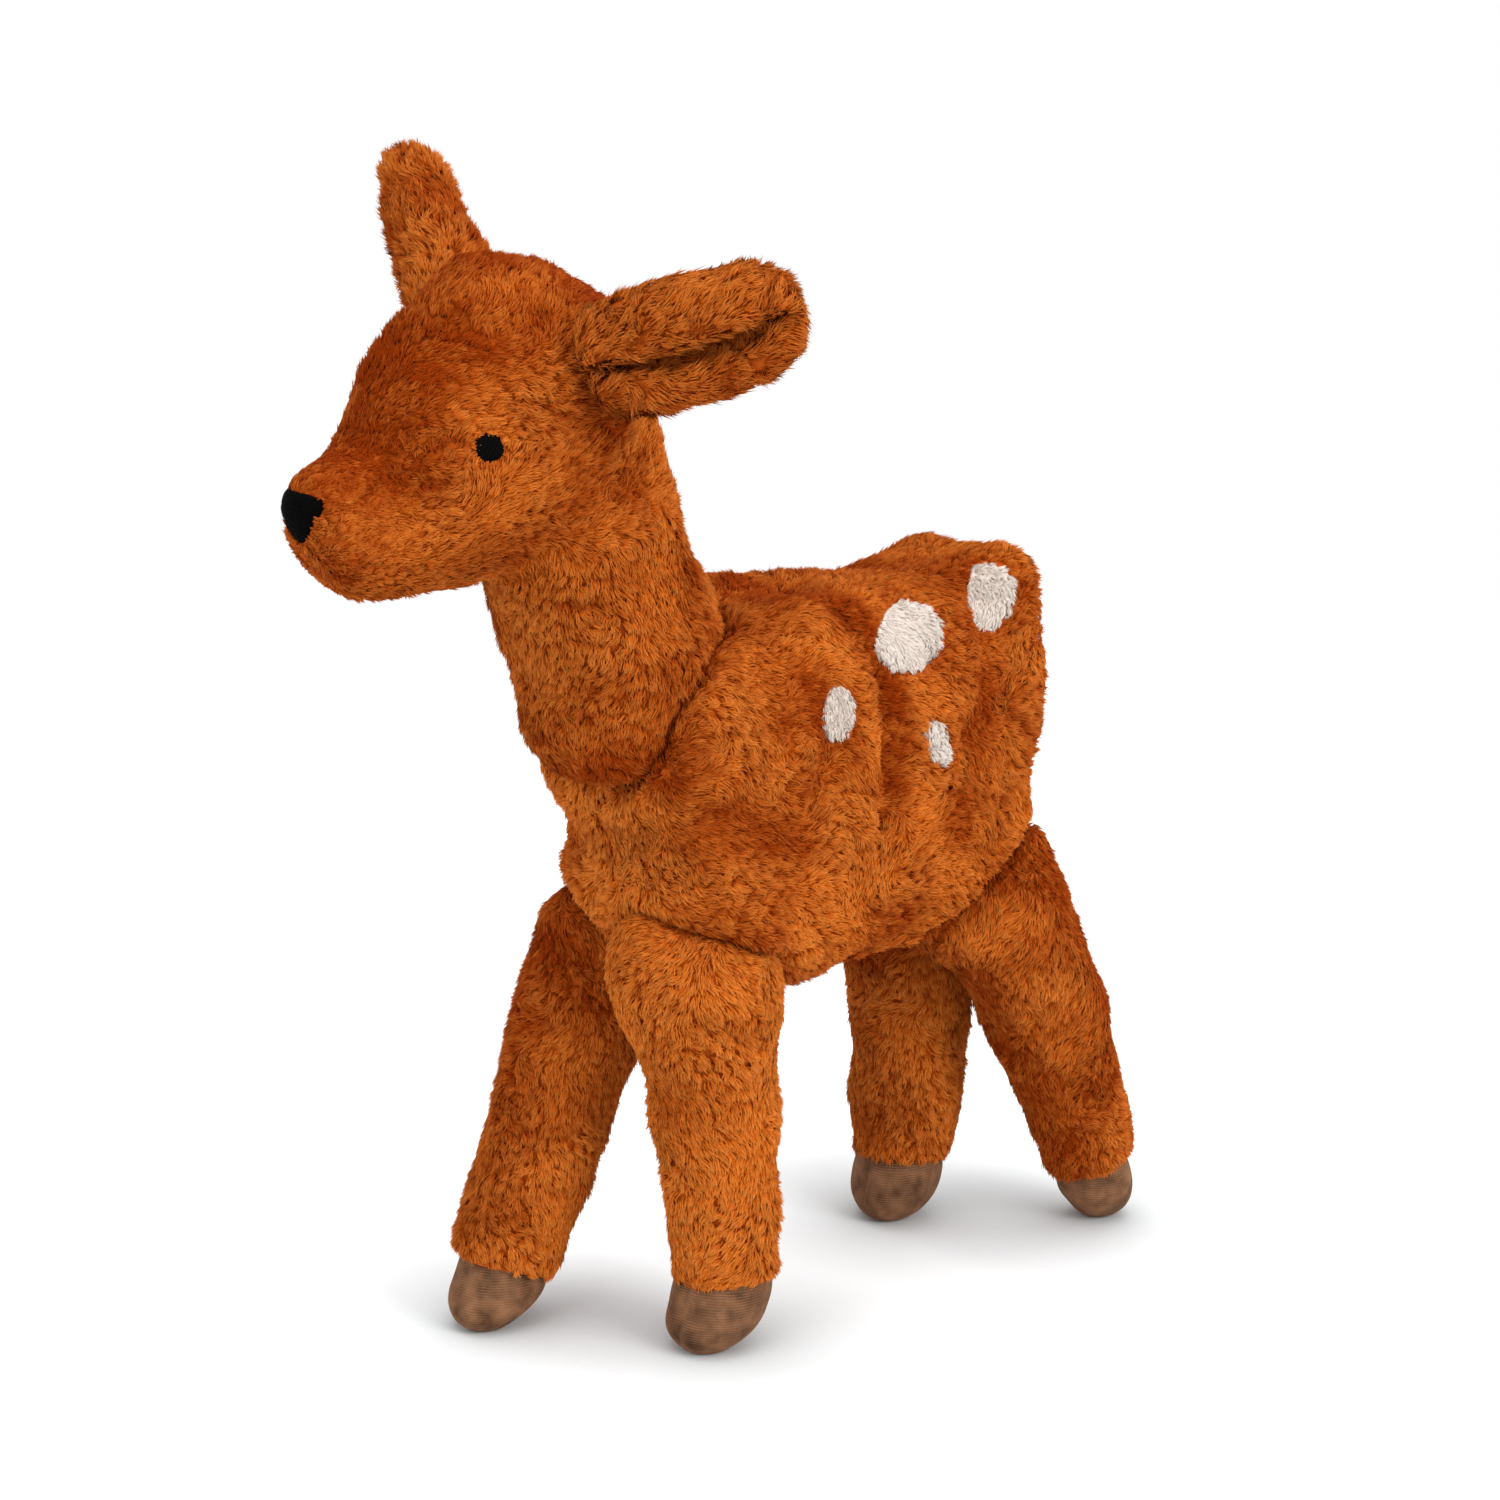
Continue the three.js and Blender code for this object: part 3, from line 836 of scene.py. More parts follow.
    def tuft_points(
        self, root: Array, middle: Array, tip: Array, normals: Array, rng: np.random.Generator
    ) -> Array:
        """The five points of each tuft: its root, a ring of three, and its tip."""
        along = unit(tip - root)
        flat = unit(np.cross(along, normals))
        thick = np.cross(along, flat)
        twist = rng.uniform(0, 2 * math.pi, len(root))
        wide = self.style.width / 2 * rng.uniform(0.75, 1.25, len(root))
        ring = []
        for corner in range(3):
            angle = twist + corner * 2 * math.pi / 3
            ring.append(middle + times(flat, np.cos(angle) * wide) + times(thick, np.sin(angle) * 0.7 * wide))
        return np.stack([root, *ring, tip], axis=1)

    @staticmethod
    def tuft_normals(points: Array, normals: Array) -> Array:
        """The normals at each tuft's points: its own, drawn toward those of the cloth under it."""
        out = points - points[:, 1:4].mean(axis=1, keepdims=True)
        out[:, [0, 4]] = 0
        return unit(normals[:, None] + 0.8 * unit(out))

    def add_pieces(self, name: str, points: Array, soft: Array, tint: Array, body: str) -> None:
        """Makes the tufts' meshes, each small enough to be exported whole.

        Args:
            name: The pieces' first word.
            points: The five points of each tuft.
            soft: The normals at those points.
            tint: How bright each tuft is, from painted light and shade and random tone.
            body: The body that they move with.
        """
        parts = math.ceil(len(points) / MOST_TUFTS)
        for part in range(parts):
            some = points[part::parts]
            count = len(some)
            faces = (TUFT_FACES[None] + 5 * np.arange(count)[:, None, None]).reshape(-1, 3)
            mesh = triangle_mesh(f"{name}_pile_{part + 1}", some.reshape(-1, 3) * MM, faces)
            for label, kind, field, values in (
                ("rise", "FLOAT", "value", np.tile(TUFT_RISE, count)),
                ("tint", "FLOAT", "value", np.repeat(tint[part::parts], 5)),
                ("custom_normal", "FLOAT_VECTOR", "vector", soft[part::parts].ravel()),
            ):
                layer = mesh.attributes.new(label, kind, "POINT")
                layer.data.foreach_set(field, values.astype(np.float32))
            self.add_map(mesh, count)
            piece(shade_smooth(mesh), self.finish, body, scaled=True)

    @staticmethod
    def add_map(mesh: bpy.types.Mesh, count: int) -> None:
        """Lays each tuft out in a cell of its own, in the OFBake map."""
        side = math.ceil(math.sqrt(count))
        cells = np.stack([np.arange(count) % side, np.arange(count) // side], -1)
        spots = (cells[:, None, None, :] + TUFT_MAP[TUFT_FACES][None]) / side
        layer = mesh.uv_layers.new(name="OFBake")
        layer.data.foreach_set("uv", spots.ravel().astype(np.float32))


def piece(
    mesh: bpy.types.Mesh,
    finish: "Finish",
    body: str,
    *replaces: str,
    fill: float | None = None,
    scaled: bool = False,
) -> None:
    """Makes a mesh a piece of the fawn.

    Args:
        mesh: The mesh, in millimetres unless `scaled` is set.
        finish: Its finish, which knows the record's slot for it.
        body: The body that it moves with.
        replaces: The CAD nodes that it stands for.
        fill: How tight it is stuffed, if it is; not used.
        scaled: Whether the mesh is in metres already.
    """
    name = mesh.name.split(".")[0]
    if not scaled:
        mesh = mesh.copy()
        set_points(mesh, mesh_points(mesh) * MM)
    made = bpy.data.objects.new(name, mesh)
    bpy.context.scene.collection.objects.link(made)
    mesh.materials.clear()
    mesh.materials.append(finish.material())
    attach(made, body)
    if replaces:
        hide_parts(*replaces)
    LOG.info("%s rides on %s, %d faces", made.name, body, len(mesh.polygons))


def closed_curve(knots: Sequence[tuple[float, float]], count: int) -> Array:
    """Samples a smooth closed outline through flat knots."""
    ring = np.array([*knots[-2:], *knots, *knots[:3]], float)
    spans = len(knots)
    place = np.arange(count) * spans / count
    return curve_through(ring, (place + 2) / (len(ring) - 1))


def oval(half_wide: float, half_high: float, tilt: float, wobble: float = 0.0, seed: int = 5) -> Array:
    """A slightly uneven oval outline, tilted by degrees, as flat points."""
    turn = around(64)
    uneven = 1 + wobble * (np.sin(3 * turn + seed) + 0.7 * np.sin(5 * turn + 2 * seed))
    flat = np.stack([half_wide * np.cos(turn) * uneven, half_high * np.sin(turn) * uneven], -1)
    lean = math.radians(tilt)
    return flat @ np.array([[math.cos(lean), math.sin(lean)], [-math.sin(lean), math.cos(lean)]])


@dataclass(frozen=True)
class Patch:
    """A thin piece that is sewn on a skin: an outline cast at the skin from one side.

    Attributes:
        centre: A point in front of the skin.
        across: The direction of the outline's first axis.
        upright: The direction of its second axis.
        outline: The outline's flat points, around its middle.
        thick: How far the patch stands on the skin.
        sunk: How far its underside reaches into the skin.
    """

    centre: Place
    across: Place
    upright: Place
    outline: Array
    thick: float
    sunk: float = 0.8

    @property
    def outward(self) -> Array:
        """The direction that the patch faces."""
        return unit(np.cross(self.across, self.upright))

    def cast(self, tree: BVHTree, flat: Array) -> tuple[Array, Array]:
        """Where flat points land on the skin, and the skin's normals there."""
        starts = np.array(self.centre) + flat @ np.array([self.across, self.upright])
        places, normals = [], []
        for start in starts:
            place, normal, _, _ = tree.ray_cast(Vector(start + self.outward * 60), Vector(-self.outward))
            if place is None:
                place, normal, _, _ = tree.find_nearest(Vector(start))
            places.append(place)
            normals.append(normal)
        return np.array(places), np.array(normals)

    def mesh(self, name: str, tree: BVHTree, pitch: float = 0.8) -> bpy.types.Mesh:
        """Builds the patch with a rounded edge, closed underneath."""
        count = max(5, round(np.abs(self.outline).max() / pitch))
        shares = np.linspace(0, 1, count + 1)[1:]
        tops = [(share, self.thick * (1 - share**7) ** 0.5) for share in shares]
        under = [(0.97, -0.4 * self.sunk), (0.9, -self.sunk), (0.5, -self.sunk), (0.12, -self.sunk)]
        rings = []
        for share, height in tops + under:
            places, normals = self.cast(tree, self.outline * share)
            rings.append(places + unit(normals + self.outward) * height)
        middle, normal = self.cast(tree, np.zeros((1, 2)))
        first = middle[0] + normal[0] * self.thick
        return skin_rings(name, np.array(rings), first, middle[0] - normal[0] * self.sunk)


def ring_triangles(count: int, sides: int) -> Array:
    """The triangles over rings of points, closed by two end points that follow the rings'."""
    index = np.arange(count * sides).reshape(count, sides)
    near, far = index[:-1], index[1:]
    near_next, far_next = np.roll(near, -1, 1), np.roll(far, -1, 1)
    walls = [np.stack([near, near_next, far], -1), np.stack([near_next, far_next, far], -1)]
    start = np.stack([np.full(sides, count * sides), np.roll(index[0], -1), index[0]], -1)
    end = np.stack([np.full(sides, count * sides + 1), index[-1], np.roll(index[-1], -1)], -1)
    return np.vstack([wall.reshape(-1, 3) for wall in walls] + [start, end])


def tube(path: Array, radius: float, sides: int = 6) -> tuple[Array, Array]:
    """The points and triangles of a thread along a path, closed at both ends."""
    along = unit(np.gradient(path, axis=0))
    lateral = unit(np.cross(along, np.array([0.3, 0.2, 0.93])))
    upright = np.cross(along, lateral)
    turn = 2 * math.pi * np.arange(sides) / sides
    ring = np.cos(turn)[None, :, None] * lateral[:, None] + np.sin(turn)[None, :, None] * upright[:, None]
    points = np.vstack([(path[:, None] + radius * ring).reshape(-1, 3), path[:1], path[-1:]])
    return points, ring_triangles(len(path), sides)


def pebble(centre: Array, sizes: Array, turn: Array, rows: int = 5, sides: int = 7) -> tuple[Array, Array]:
    """The points and triangles of a small oval grain, turned by a matrix."""
    tall = np.linspace(0, math.pi, rows + 2)[1:-1, None]
    ring = around(sides)
    ways = (np.sin(tall) * np.cos(ring), np.sin(tall) * np.sin(ring), np.cos(tall) + 0 * ring)
    points = np.vstack([np.stack(ways, -1).reshape(-1, 3), [UP], [-UP]]) * sizes @ turn.T + centre
    return points, ring_triangles(rows, sides)[:, ::-1]


def as_part(mesh: bpy.types.Mesh) -> tuple[Array, Array]:
    """A mesh's points and triangles."""
    return mesh_points(mesh), mesh_triangles(mesh)


def merged(name: str, parts: Sequence[tuple[Array, Array]]) -> bpy.types.Mesh:
    """Makes one mesh of many small closed forms."""
    starts = np.cumsum([0] + [len(points) for points, _ in parts])
    points = np.vstack([points for points, _ in parts])
    faces = np.vstack([faces + start for (_, faces), start in zip(parts, starts)])
    return shade_smooth(triangle_mesh(name, points, faces))


def with_hole(mesh: bpy.types.Mesh, cutter: bpy.types.Mesh) -> bpy.types.Mesh:
    """Cuts one closed mesh out of another."""
    holder = bpy.data.objects.new("cutter", cutter)
    bpy.context.scene.collection.objects.link(holder)

    def cut(target: bpy.types.Object) -> None:
        """Adds the cut to a mesh's object."""
        modifier = target.modifiers.new("cut", "BOOLEAN")
        modifier.object = holder
        modifier.solver = "EXACT"

    result = evaluated(mesh, cut)
    bpy.data.objects.remove(holder)
    return result


def fused(name: str, meshes: Sequence[bpy.types.Mesh], voxel: float, rounds: int) -> bpy.types.Mesh:
    """Fuses closed meshes into one skin, and smooths the joins.

    Args:
        name: The new mesh's name.
        meshes: Meshes that overlap.
        voxel: The distance between the new skin's points.
        rounds: How often the skin is smoothed.

    Returns:
        The fused mesh.
    """
    together = merged(name, [as_part(mesh) for mesh in meshes])

    def remesh(target: bpy.types.Object) -> None:
        """Adds the fusing."""
        modifier = target.modifiers.new("fuse", "REMESH")
        modifier.mode = "VOXEL"
        modifier.voxel_size = voxel
        modifier.use_smooth_shade = True

    def smooth(target: bpy.types.Object) -> None:
        """Adds the smoothing."""
        modifier = target.modifiers.new("smooth", "SMOOTH")
        modifier.factor = 0.5
        modifier.iterations = rounds

    return evaluated(together, remesh, smooth)


def shade_smooth(mesh: bpy.types.Mesh) -> bpy.types.Mesh:
    """Sets a mesh's faces to smooth shading."""
    mesh.polygons.foreach_set("use_smooth", np.ones(len(mesh.polygons), bool))
    return mesh


@dataclass(frozen=True)
class Cloth:
    """A woven or felted cloth.

    Attributes:
        name: The material's name.
        dark: The colour in its hollows: painted shade between the threads.
        light: The colour on its threads.
        pitch: The distance between threads, or 0 for felt.
        relief: How deep the weave is.
        sheen: The strength of its soft shine.
        stripe: Whether threads run one way only, as ribs.
        mottle_and_nap_shade: How strongly broad patches differ: random mottle, and painted nap shading on the
            velour.
        gloss: The strength of its mirror shine.
    """

    name: str
    slot: Slot
    dark: Colour
    light: Colour
    pitch: float
    relief: float = 0.12
    sheen: float = 0.2
    stripe: bool = False
    mottle_and_nap_shade: float = 0.5
    gloss: float = 0.2

    @cache
    def material(self) -> bpy.types.Material:
        """Builds the material."""
        shader = Shader(self.name)
        fibre, mottle_and_nap_shade = shader.noise(0.35, 4), shader.noise(7, 2)
        if self.stripe:
            worn = shader.sums("MULTIPLY_ADD", shader.noise(5, 3), 1.5, -0.35)
            threads = shader.sums("MULTIPLY", shader.ribs(self.pitch, "Z", 2.0), worn)
        elif self.pitch:
            threads = shader.sums("MAXIMUM", *(shader.ribs(self.pitch, axis, 0.5) for axis in "YZ"))
        else:
            threads = shader.noise(0.7, 5)
        # Low threads take the dark colour, painted shade in the hollows; broad patches add mottle, and
        # painted nap shading on the velour.
        height = shader.weighted((threads, 0.65), (fibre, 0.5))
        share = shader.weighted((height, 0.62), (mottle_and_nap_shade, self.mottle_and_nap_shade))
        share = shader.sums("SUBTRACT", share, self.mottle_and_nap_shade / 2 - 0.13)
        shader.colour(shader.blend(share, paint(*self.dark), paint(*self.light)))
        shader.bump(height, self.relief)
        shader.cloth(0.88, self.sheen, paint(*self.light), self.gloss)
        return shader.material


# The velour's strong broad patches are painted nap shading, and its dark hollows painted shade.
VELOUR = Cloth("taupe_velour", Slot.VELOUR, (34, 14, 3), (176, 125, 88), 0.85, 0.17, 0.12, True, 0.95)
FELT = Cloth("black_felt", Slot.FELT, (2, 2, 2), (9, 8, 7), 0.0, 0.2, 0.0, gloss=0.03)
THREAD = Cloth("black_thread", Slot.THREAD, (3, 3, 3), (12, 10, 9), 0.22, 0.05, 0.0, gloss=0.05)
COTTON = Cloth("natural_cotton", Slot.LINING, (176, 160, 132), (224, 212, 188), 0.7)
TWILL = Cloth("pack_cotton", Slot.PACK, (186, 168, 138), (228, 214, 188), 0.55, 0.1)
FLEECE = Cloth("wool_filling", Slot.STUFFING, (206, 198, 182), (246, 242, 232), 0.0, 0.4, 0.15)
TAPE = Cloth("closure_tape", Slot.TAPE, (104, 42, 12), (150, 72, 30), 0.45, 0.08)


@dataclass(frozen=True)
class Husk:
    """The dry skin of seeds."""

    name: str = "dried_seed"
    slot: Slot = Slot.SEED

    @cache
    def material(self) -> bpy.types.Material:
        """Builds the material, mottled from seed to seed."""
        shader = Shader(self.name)
        grain = shader.noise(0.5, 5)
        share = shader.weighted((shader.noise(3.5, 2), 0.8), (grain, 0.3))
        stops = ((0.3, (98, 62, 32)), (0.55, (170, 128, 80)), (0.8, (206, 170, 122)))
        shader.colour(shader.ramp(share, stops))
        shader.bump(grain, 0.1)
        fed(shader.surface, {"Roughness": 0.6})
        return shader.material


Finish = PileFinish | Ground | Cloth | Husk


def joint_point(frame: dict, name: str) -> Array:
    """Where a joint turns, in millimetres."""
    return next(np.array(joint["pos_m"]) / MM for joint in frame["joints"] if joint["name"] == name)


@dataclass(frozen=True)
class Seams:
    """The seams where other skins are sewn on: the pile there is short, and takes painted shade."""

    others: Sequence[Skin]
    width: float = 3.2
    darker: float = 0.35
    shorter: float = 0.45

    def near(self, points: Array) -> Array:
        """How near points are to a seam, from 0 to 1."""
        return max_of(np.exp(-((other.depth(points) / self.width) ** 2)) for other in self.others)

    def shade(self, points: Array) -> Array:
        """How much painted shade a seam lays on the pile."""
        return -self.darker * self.near(points)

    def trim(self, points: Array, normals: Array) -> Array:
        """The share of the pile's length that is left."""
        return 1 - self.shorter * self.near(points)


def max_of(fields: Iterable[Array]) -> Array:
    """The highest of several fields at each point."""
    return np.max(np.stack(list(fields)), axis=0)


def outside(*others: tuple[Skin, float]) -> Field:
    """A test that keeps what is outside other skins, each with the depth that is still allowed."""
    def keep(points: Array, normals: Array) -> Array:
        """Says which points stay."""
        stays = np.ones(len(points), bool)
        for skin, allowed in others:
            stays &= skin.depth(points) < allowed
        return stays

    return keep


@dataclass
class Torso:
    """The trunk, with its folds, the recess for the flap and the hole for the pocket.

    Attributes:
        box: The solid's lowest and highest corners.
        chest: How far the chest's dome stands out.
        rump: How far the rump's dome stands out.
        square: How square its rings are.
        recess: The flap's recess: its half width, half length and ceiling.
        shaft: Rings of the pocket's room: their height, half length and half width.
        sleeve: The bare cloth round the pocket: its half width and half length.
        wall: How thick the cover is over the stuffing.
        folds: Folds and dents that are pressed into the cover.
        shades: Places where the pile takes painted shade, or painted light where the depth is negative.
        tugs: Places that are carried off from the plain form.
    """

    box: tuple[Array, Array]
    chest: float = 25.0
    rump: float = 11.0
    square: float = 3.0
    recess: Place = (25.0, 37.5, 121.0)
    shaft: tuple[Place, ...] = (
        (95.0, 35.0, 14.5), (123.0, 35.0, 14.5), (123.2, 36.9, 16.4), (228.5, 36.9, 16.4),
    )
    sleeve: tuple[float, float] = (18.0, 38.0)
    wall: float = 4.5
    folds: tuple[Crease, ...] = (
        Crease(
            ((30, 17, 238), (35, 19, 226), (39, 21, 214), (42, 23, 198), (43, 24, 182), (42, 24, 168)),
            4.4, -2.4,
        ),
        Crease(
            ((28, 28, 238), (34, 31, 226), (39, 34, 214), (42, 33, 198), (43, 33, 182), (42, 33, 168)),
            3.8, 3.6,
        ),
        Crease(((26, 3, 238), (34, 8, 222), (40, 11, 205), (43, 11, 190)), 5.0, 1.8),
        Crease(((34, 74, 222), (38, 70, 214), (40, 67, 208), (43, 60, 196), (43, 56, 184)), 4.0, -2.0),
        Crease(((30, 85, 232), (37, 81, 216), (41, 77, 202), (43, 69, 188), (43, 66, 172)), 4.4, 2.6),
        Crease(((36, 94, 216), (40, 92, 200), (41, 91, 182), (40, 90, 165)), 4.0, 1.8),
        Crease(((36, -36, 182), (42, -24, 175), (44, -10, 171)), 5.5, 3.2),
        Crease(((38, -18, 226), (42, -10, 212), (43, -8, 196)), 4.5, 1.8),
    )
    shades: tuple[Crease, ...] = (
        Crease(((28, 32, 236), (34, 35, 228), (38, 37, 216), (41, 36, 207)), 6.0, 0.6),
        Crease(((41, 37, 207), (43, 38, 196), (43, 37, 182), (43, 35, 172)), 7.0, 0.55),
        Crease(((30, 14, 236), (37, 17, 220), (41, 19, 205)), 5.0, -0.3),
        Crease(((26, -1, 236), (34, 4, 224), (40, 7, 208)), 5.5, 0.36),
        Crease(((40, 80, 206), (42, 74, 190), (42, 72, 176)), 6.0, 0.2),
        Crease(((42, 60, 168), (42, 66, 158)), 9.0, 0.16),
        Crease(((38, -34, 182), (43, -22, 175), (44, -8, 171)), 7.0, 0.34),
        Crease(((43, -24, 158), (43, 0, 150), (42, 26, 146)), 11.0, -0.2),
        Crease(((43, 48, 176), (43, 50, 160), (42, 44, 148)), 9.0, -0.16),
        Crease(((4, -46, 190), (10, -46, 172), (8, -44, 154)), 15.0, -0.38),
        Crease(((37, 98, 206), (40, 98, 186), (38, 98, 168)), 7.0, -0.2),
    )
    tugs: tuple[Tug, ...] = (
        Tug((27, -38, 163), 13, (-2.0, 2.2, 0)),
        Tug((27, -37, 190), 11, (2.2, -3.6, 0)),
        Tug((0, -46, 163), 17, (0, 3.6, 0)),
        Tug((0, -45, 199), 17, (0, -3.6, 0)),
        Tug((22, 10, 233), 17, (0, 0, 5.5)),
        Tug((22, 36, 235), 16, (0, 0, 1.4)),
        Tug((25, 68, 236), 13, (0, 0, -3.0)),
        Tug((25, 104, 232), 20, (0, 2.4, 7.4), False),
        Tug((-25, 104, 232), 20, (0, 2.4, 5.2), False),
        Tug((0, 80, 240), 16, (0, 0, -2.6)),
        Tug((34, 108, 205), 24, (1.2, 1.2, 0)),
        Tug((32, 22, 126), 13, (0, 0, -2.4)),
        Tug((30, 110, 234), 12, (0.8, 1.6, 3.2)),
        Tug((-12, 14, 240), 14, (0, 0, 2.2), False),
        Tug((-22, -40, 181), 10, (-2.6, -3.2, 0), False),
        Tug((-21, -39, 159), 10, (2.8, 3.4, 0), False),
        Tug((33, 112, 176), 15, (-1.6, -2.8, 0)),
        Tug((33, 112, 156), 11, (-1.4, -2.2, 0)),
        Tug((31, 8, 124), 14, (1.5, 0, -7.0)),
        Tug((34, -20, 139), 15, (12.5, -1.0, -1.0), False),
        Tug((-33, -20, 139), 13, (-4.0, 0, 0), False),
        Tug((33, -32, 209), 17, (5.0, -8.0, 3.0)),
        Tug((30, -18, 228), 13, (5.0, -7.0, 5.0)),
    )

    def form(self) -> StuffedForm:
        """The trunk's rings, from its box."""
        low, high = self.box
        length = high[1] - low[1]
        places = (self.chest, 0.34 * length, 0.64 * length, length - self.rump)
        scales = ((2, 0.86, 0.84), (-1, 0.97, 0.96), (0, 1.0, 0.99), (0.5, 0.84, 0.98))
        centre, half = (low[2] + high[2]) / 2, (high[2] - low[2]) / 2
        stations = [
            Station((0, low[1] + place, centre + lift), wide * high[0], tall * half)
            for place, (lift, wide, tall) in zip(places, scales)
        ]
        return StuffedForm(stations, (self.chest, self.rump), self.square)

    def sculpt(self, limbs: Sequence[Skin]) -> Skin:
        """Shapes the cover: lumps, folds, and a valley where each limb is sewn on."""
        skin = Skin(self.form().mesh("torso_skin", -PILE_DEPTH - 0.6))
        skin.tug(self.tugs)
        skin.lump([(Ripple(62, 3), 0.9), (Ripple(24, 4), 0.5)])
        skin.press([*self.folds, *(fold.mirrored() for fold in self.folds)])
        for limb in limbs:
            skin.meet(limb, 2.2, 2.0)
        self.hollow(skin)
        return skin

    def hollow(self, skin: Skin) -> None:
        """Presses the recess for the flap up into the belly."""
        half_wide, half_long, ceiling = self.recess
        points = skin.points
        past_end = np.abs(points[:, 1] - POCKET_MIDDLE) - half_long
        beyond = np.maximum(np.abs(points[:, 0]) - half_wide, past_end)
        inside = smooth_step(2.5, -0.5, beyond) * (points[:, 2] < ceiling + 8)
        points[:, 2] += inside * np.maximum(ceiling - points[:, 2], 0)
        set_points(skin.mesh, points)

    def cavity(self, grow: float = 0.0) -> bpy.types.Mesh:
        """The room for the pocket: an oval shaft, wider above the cover's mouth."""
        turn = around(48)
        rings = np.empty((len(self.shaft), len(turn), 3))
        for ring, (height, long, wide) in zip(rings, self.shaft):
            ring[:, 0] = (wide + grow) * np.cos(turn)
            ring[:, 1] = POCKET_MIDDLE + (long + grow) * np.sin(turn)
            ring[:, 2] = height
        rings[-1, :, 2] += grow
        ends = (np.array([0, POCKET_MIDDLE, rings[end, 0, 2]]) for end in (0, -1))
        return skin_rings("shaft", rings, *ends)

    def wadding(self) -> bpy.types.Mesh:
        """The stuffing: a lumpy form inside the cover, round the pocket."""
        skin = Skin(self.form().mesh("torso_wadding", -self.wall - 2.5))
        skin.tug(self.tugs)
        skin.lump([(Ripple(20, 11), 0.8), (Ripple(8, 12), 0.5)])
        skin.above(self.recess[2] + self.wall)
        return shade_smooth(with_hole(skin.mesh, self.cavity(0.6)))

    def bare(self, points: Array, normals: Array) -> Array:
        """Keeps the pile off the recess, the pocket's walls and the spots."""
        half_wide, half_long, ceiling = self.recess
        side, away, height = np.abs(points[:, 0]), np.abs(points[:, 1] - POCKET_MIDDLE), points[:, 2]
        recess = (side < half_wide) & (away < half_long) & (height < ceiling + 2.5)
        walls = (side < self.sleeve[0]) & (away < self.sleeve[1])
        shaft = walls & (height > ceiling - 1) & (height < self.shaft[-1][0] + 2.5)
        return ~(recess | shaft) & (beside_spots(points) > 1.03)

    def tone(self, points: Array, normals: Array) -> Array:
        """Painted shade over the back and along the folds, where the pile lies away from the light, and
        painted light where a shade's depth is negative.
        """
        back = smooth_step(0.55, 0.95, normals[:, 2])
        folded = np.column_stack([np.abs(points[:, 0]), points[:, 1:]])
        shade = sum(crease.depth * crease.near(folded) for crease in self.shades)
        return 0.04 - 0.16 * back - shade


@dataclass(frozen=True)
class Spot:
    """A white plush spot on each flank, which may sit lower on the right one."""

    name: str
    along: float
    height: float
    half_long: float
    half_high: float
    tilt: float
    lower: float = 0.0

    def place(self, points: Array) -> Array:
        """Where points of a flank lie on the spot: 0 in its middle, 1 on its edge, and more outside."""
        lean = math.radians(self.tilt)
        along, up = points[:, 1] - self.along, points[:, 2] - self.height + self.lower * (points[:, 0] < 0)
        u = along * math.cos(lean) + up * math.sin(lean)
        v = up * math.cos(lean) - along * math.sin(lean)
        share = np.hypot(u / self.half_long, v / self.half_high)
        return np.where(np.abs(points[:, 0]) > 12, share, 9.0)

    def patch(self, side: Side) -> Patch:
        """The spot as a patch for one flank."""
        sign = side.value
        seed = len(self.name) + 2 * sign
        outline = oval(self.half_long, self.half_high, sign * self.tilt, 0.018, seed)
        height = self.height - (self.lower if side is Side.RIGHT else 0)
        return Patch((30.0 * sign, self.along, height), (0, sign, 0), (0, 0, 1), outline, 1.0)

    def build(self, side: Side, torso: Skin, pile: Pile) -> None:
        """Sews the spot on and grows its white pile."""
        name = f"{self.name}_{side.name.lower()}"
        mesh = shade_smooth(self.patch(side).mesh(f"{name}_patch", torso.tree()))
        nap = Nap((0, 0.55, -0.85), 0.6, 0.4, 20 + len(name))
        pile.grow(
            name, Skin(mesh), nap, "torso", keep=lambda points, normals: normals[:, 0] * side.value > 0.12
        )
        piece(mesh, SNOW.ground, "torso", name)


SPOTS = (
    Spot("shoulder_spot", 15.8, 207.2, 4.3, 8.6, -11),
    Spot("saddle_spot", 50.8, 224.6, 15.3, 8.9, 11, 9.0),
    Spot("rump_spot", 91.8, 230.2, 11.2, 7.1, 43, 11.0),
    Spot("flank_spot", 54.8, 191.2, 4.0, 8.2, 21),
)


def beside_spots(points: Array) -> Array:
    """How far points lie from the middle of the nearest spot, where 1 is its edge."""
    return np.min([spot.place(points) for spot in SPOTS], axis=0)


# Rings of a hoof from its seam to its sole: how far each is shifted to the sole's middle, its radius
# as a share of the hoof's, its height in a hoof 25 mm high, and how far it tilts with the seam.
HOOF_ROWS = (
    (0.0, 0.5, 27.5, 1.0),
    (0.0, 0.84, 27.2, 1.0),
    (0.0, 0.92, 25.8, 1.0),
    (0.02, 0.945, 24.0, 0.95),
    (0.16, 0.99, 20.0, 0.75),
    (0.36, 1.0, 15.5, 0.5),
    (0.6, 0.97, 11.0, 0.3),
    (0.82, 0.87, 6.8, 0.12),
    (0.95, 0.72, 3.2, 0.03),
    (1.0, 0.56, 1.0, 0.0),
    (1.0, 0.46, 0.1, 0.0),
    (1.0, 0.3, 0.0, 0.0),
)


